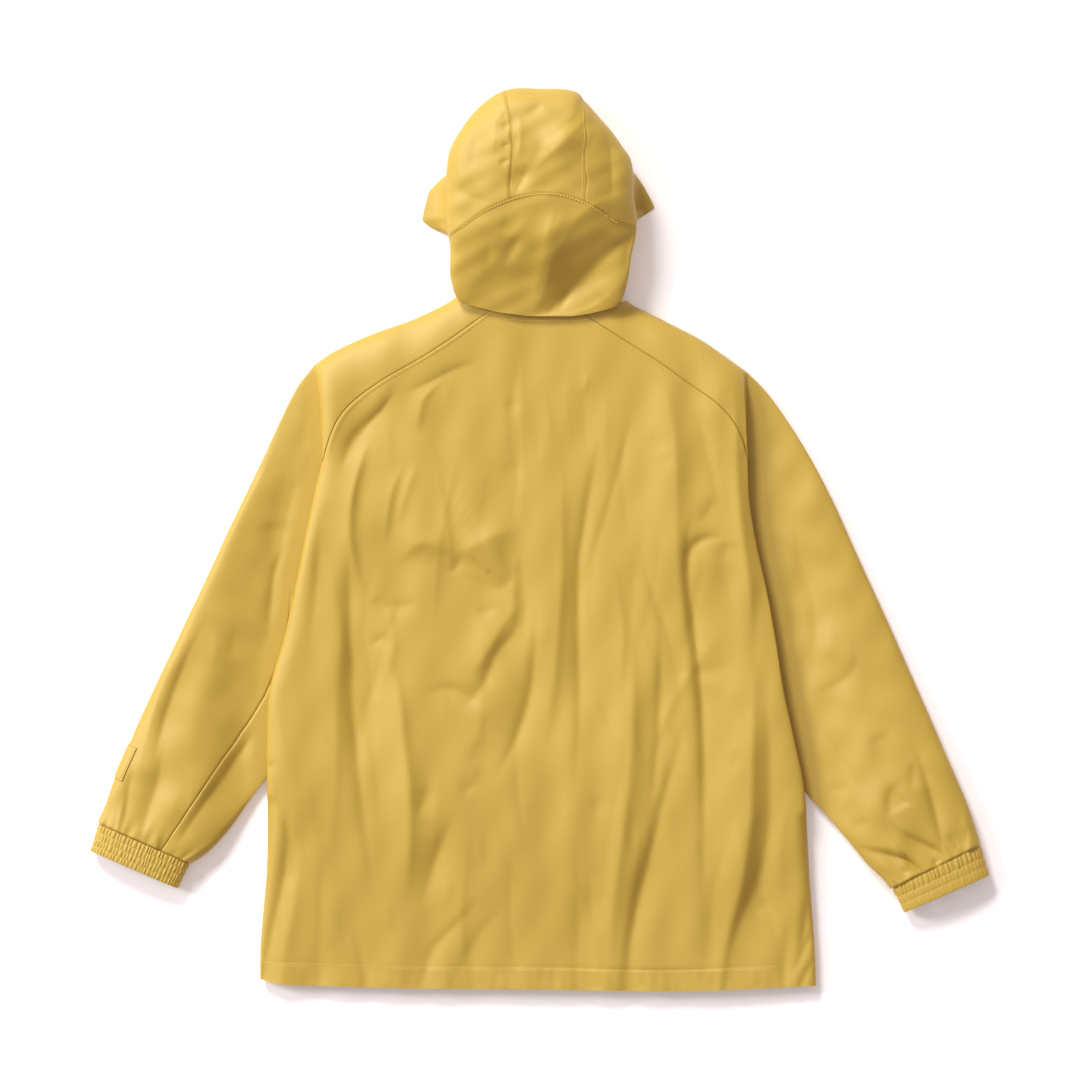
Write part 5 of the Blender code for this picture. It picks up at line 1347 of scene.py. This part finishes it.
# ---------------------------------------------------------------- sewing
def stitch_spots(cloth, path):
    """Points and normals of the cloth along each stitch of a path of places (x, y)."""
    gone = distance_gone(path)
    count = int(gone[-1] / STITCH_PITCH)
    stitches = []
    for middle in (np.arange(count) + 0.5) * gone[-1] / count:
        spots = []
        for place in middle + STITCH_LENGTH * np.linspace(-0.5, 0.5, len(STITCH_SHAPE)):
            x, y = (np.interp(place, gone, path[:, axis]) for axis in (0, 1))
            spot, normal = cloth.ray_cast(Vector((x, y, RAY_HEIGHT)), Vector((0, 0, -1)))[:2]
            if spot is None:
                break
            spots.append((np.array(spot), np.array(normal)))
        if len(spots) == len(STITCH_SHAPE):
            stitches.append(spots)
    return stitches


def sew(name, piece, path, radius):
    """A run of stitches laid along a path of places (x, y) on the top of a piece."""
    corners = [tuple(vertex.co) for vertex in piece.data.vertices]
    cloth = BVHTree.FromPolygons(corners, [tuple(face.vertices) for face in piece.data.polygons])
    points, faces = [], []
    turn = np.linspace(0, 2 * np.pi, STITCH_SIDES, endpoint=False)
    for spots in stitch_spots(cloth, np.asarray(path, float)):
        way = unit(spots[-1][0] - spots[0][0])
        first = len(points)
        for (spot, normal), share in zip(spots, STITCH_SHAPE):
            side = unit(np.cross(way, normal))
            up = np.cross(side, way)
            centre = spot + up * (STITCH_SUNK * radius)
            round_it = np.cos(turn)[:, None] * side + np.sin(turn)[:, None] * up
            points.extend(centre + radius * share * round_it)
        for step in range(len(STITCH_SHAPE) - 1):
            low = first + step * STITCH_SIDES
            high = low + STITCH_SIDES
            for k in range(STITCH_SIDES):
                after = (k + 1) % STITCH_SIDES
                faces.append((low + k, low + after, high + after, high + k))
        last = first + (len(STITCH_SHAPE) - 1) * STITCH_SIDES
        faces.append(tuple(range(first + STITCH_SIDES - 1, first - 1, -1)))
        faces.append(tuple(range(last, last + STITCH_SIDES)))
    return add_piece(name, points, faces)


def beside(points, offset):
    """A path moved to its left by an offset."""
    points = along(points, np.linspace(0, len(points) - 1, PATH_STEPS * len(points)))
    way = unit(np.gradient(points, axis=0))
    return points + offset * np.column_stack([-way[:, 1], way[:, 0]])


def sewing_paths():
    """Every visible run of stitches: its name, the piece that it lies on, its path."""
    left_end = (SIDE_EDGES[0][1] + HEM_STITCH_END, HEM[1][1] + HEM_STITCH + HEM_STITCH_LEFT)
    right_end = (SIDE_EDGES[0][2] - HEM_STITCH_END, HEM[-1][1] + HEM_STITCH)
    hem = [left_end, *((x, y + HEM_STITCH) for x, y in HEM[1:-1]), right_end]
    bare = RAGLAN_BARE
    raglan = np.linspace(bare[0], CAP_ROWS - bare[1], RAGLAN_POINTS)
    return (
        ("stitch_hem", "back", hem),
        ("stitch_raglan_left", "back", seam_point(LEFT, raglan, RAGLAN_STITCH)),
        ("stitch_raglan_right", "back", seam_point(RIGHT, raglan, RAGLAN_STITCH)),
        ("stitch_neck", "back", NECK_STITCH),
        ("stitch_hood_arc", "hood_back", beside(HOOD_ARC, -ARC_STITCH)),
        ("stitch_hood_left", "hood_centre", beside(HOOD_SEAMS[0], -HOOD_STITCH)),
        ("stitch_hood_right", "hood_centre", beside(HOOD_SEAMS[1], HOOD_STITCH)),
    )


# ---------------------------------------------------------------- materials
def plain_material(name, colour, roughness, specular):
    """A matt material of one colour."""
    material = bpy.data.materials.new(name)
    material.use_nodes = True
    inputs = material.node_tree.nodes["Principled BSDF"].inputs
    inputs["Base Color"].default_value = (*colour, 1.0)
    inputs["Roughness"].default_value = roughness
    inputs["Specular IOR Level"].default_value = specular
    return material


def shell_material():
    """Matt, tightly woven shell cloth with a soft sheen."""
    material = plain_material("shell_cloth", CLOTH_PALE, CLOTH_ROUGHNESS, CLOTH_SPECULAR)
    nodes, links = material.node_tree.nodes, material.node_tree.links
    shader = nodes["Principled BSDF"]
    place = nodes.new("ShaderNodeTexCoord").outputs["Object"]

    def noise(scale, detail):
        texture = nodes.new("ShaderNodeTexNoise")
        texture.inputs["Scale"].default_value = scale
        texture.inputs["Detail"].default_value = detail
        links.new(place, texture.inputs["Vector"])
        return texture.outputs["Fac"]

    both = nodes.new("ShaderNodeMix")
    both.data_type = "FLOAT"
    both.inputs["Factor"].default_value = 0.5
    links.new(noise(*TONE_NOISE), both.inputs[2])
    links.new(noise(*GRAIN_NOISE), both.inputs[3])
    tint = nodes.new("ShaderNodeMix")
    tint.data_type = "RGBA"
    tint.inputs["A"].default_value = (*CLOTH_DEEP, 1.0)
    tint.inputs["B"].default_value = (*CLOTH_PALE, 1.0)
    links.new(both.outputs[0], tint.inputs["Factor"])
    links.new(tint.outputs["Result"], shader.inputs["Base Color"])
    bump = nodes.new("ShaderNodeBump")
    bump.inputs["Strength"].default_value = WEAVE_STRENGTH
    bump.inputs["Distance"].default_value = WEAVE_DEPTH
    links.new(noise(*WEAVE_NOISE), bump.inputs["Height"])
    links.new(bump.outputs["Normal"], shader.inputs["Normal"])
    return material


# ---------------------------------------------------------------- stage
def make_floor():
    """A plain pale floor."""
    corners = [(x * FLOOR_HALF, y * FLOOR_HALF, FLOOR_LEVEL)
               for x, y in ((-1, -1), (1, -1), (1, 1), (-1, 1))]
    floor = add_piece("floor", corners, [(0, 1, 2, 3)])
    material = plain_material("floor", FLOOR_COLOUR, FLOOR_ROUGHNESS, 0.0)
    inputs = material.node_tree.nodes["Principled BSDF"].inputs
    inputs["Emission Color"].default_value = (*FLOOR_COLOUR, 1.0)
    inputs["Emission Strength"].default_value = FLOOR_GLOW
    floor.data.materials.append(material)


def make_lights():
    """Soft studio lights from the upper left and overhead, and a pale sky."""
    for name, place, size, power in LIGHTS:
        lamp = bpy.data.lights.new(name, "AREA")
        lamp.shape = "DISK"
        lamp.size = size
        lamp.energy = power
        lamp.color = LIGHT_COLOUR
        holder = bpy.data.objects.new(name, lamp)
        holder.location = place
        holder.rotation_euler = (-Vector(place)).to_track_quat("-Z", "Y").to_euler()
        holder.visible_camera = False
        bpy.context.scene.collection.objects.link(holder)
    world = bpy.data.worlds.new("sky")
    world.use_nodes = True
    background = world.node_tree.nodes["Background"].inputs
    background["Color"].default_value = (*SKY_COLOUR, 1.0)
    background["Strength"].default_value = SKY_STRENGTH
    bpy.context.scene.world = world


def make_camera():
    """The camera, straight overhead."""
    camera = bpy.data.cameras.new("camera")
    camera.sensor_width = SENSOR_MM
    camera.lens = SENSOR_MM * (CAMERA_HEIGHT - SHOWN_LEVEL) / SHOWN_WIDTH
    camera.clip_end = 2 * CAMERA_HEIGHT
    eye = bpy.data.objects.new("camera", camera)
    eye.location = (0.0, 0.0, CAMERA_HEIGHT)
    bpy.context.scene.collection.objects.link(eye)
    bpy.context.scene.camera = eye


def make_garment():
    """Every piece of cloth, by the node that it replaces."""
    built = {"back": make_back(), "front": make_front()}
    for side, name in SIDES.items():
        built["sleeve_" + name] = make_sleeve(side)
        built["cuff_" + name] = make_cuff(side)
    built["sleeve_patch"] = make_patch()
    built.update(make_hood())
    return built


def main():
    built = make_garment()
    cloth = shell_material()
    for node, piece in built.items():
        piece.data.materials.append(cloth)
        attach(piece, "root")
        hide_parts(node)
    thread = plain_material("thread", THREAD_COLOUR, THREAD_ROUGHNESS, THREAD_SPECULAR)
    top_thread = plain_material("top_thread", TOP_THREAD_COLOUR, THREAD_ROUGHNESS, THREAD_SPECULAR)
    sewn_on = {node: [] for node in built}
    for name, node, path in sewing_paths():
        on_top = name in TOP_STITCHED
        run = sew(name, built[node], path, TOP_THREAD if on_top else THREAD)
        run.data.materials.append(top_thread if on_top else thread)
        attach(run, "root")
        sewn_on[node].append(run)
    bpy.context.scene.view_settings.view_transform = "Standard"
    make_floor()
    make_lights()
    make_camera()


main()
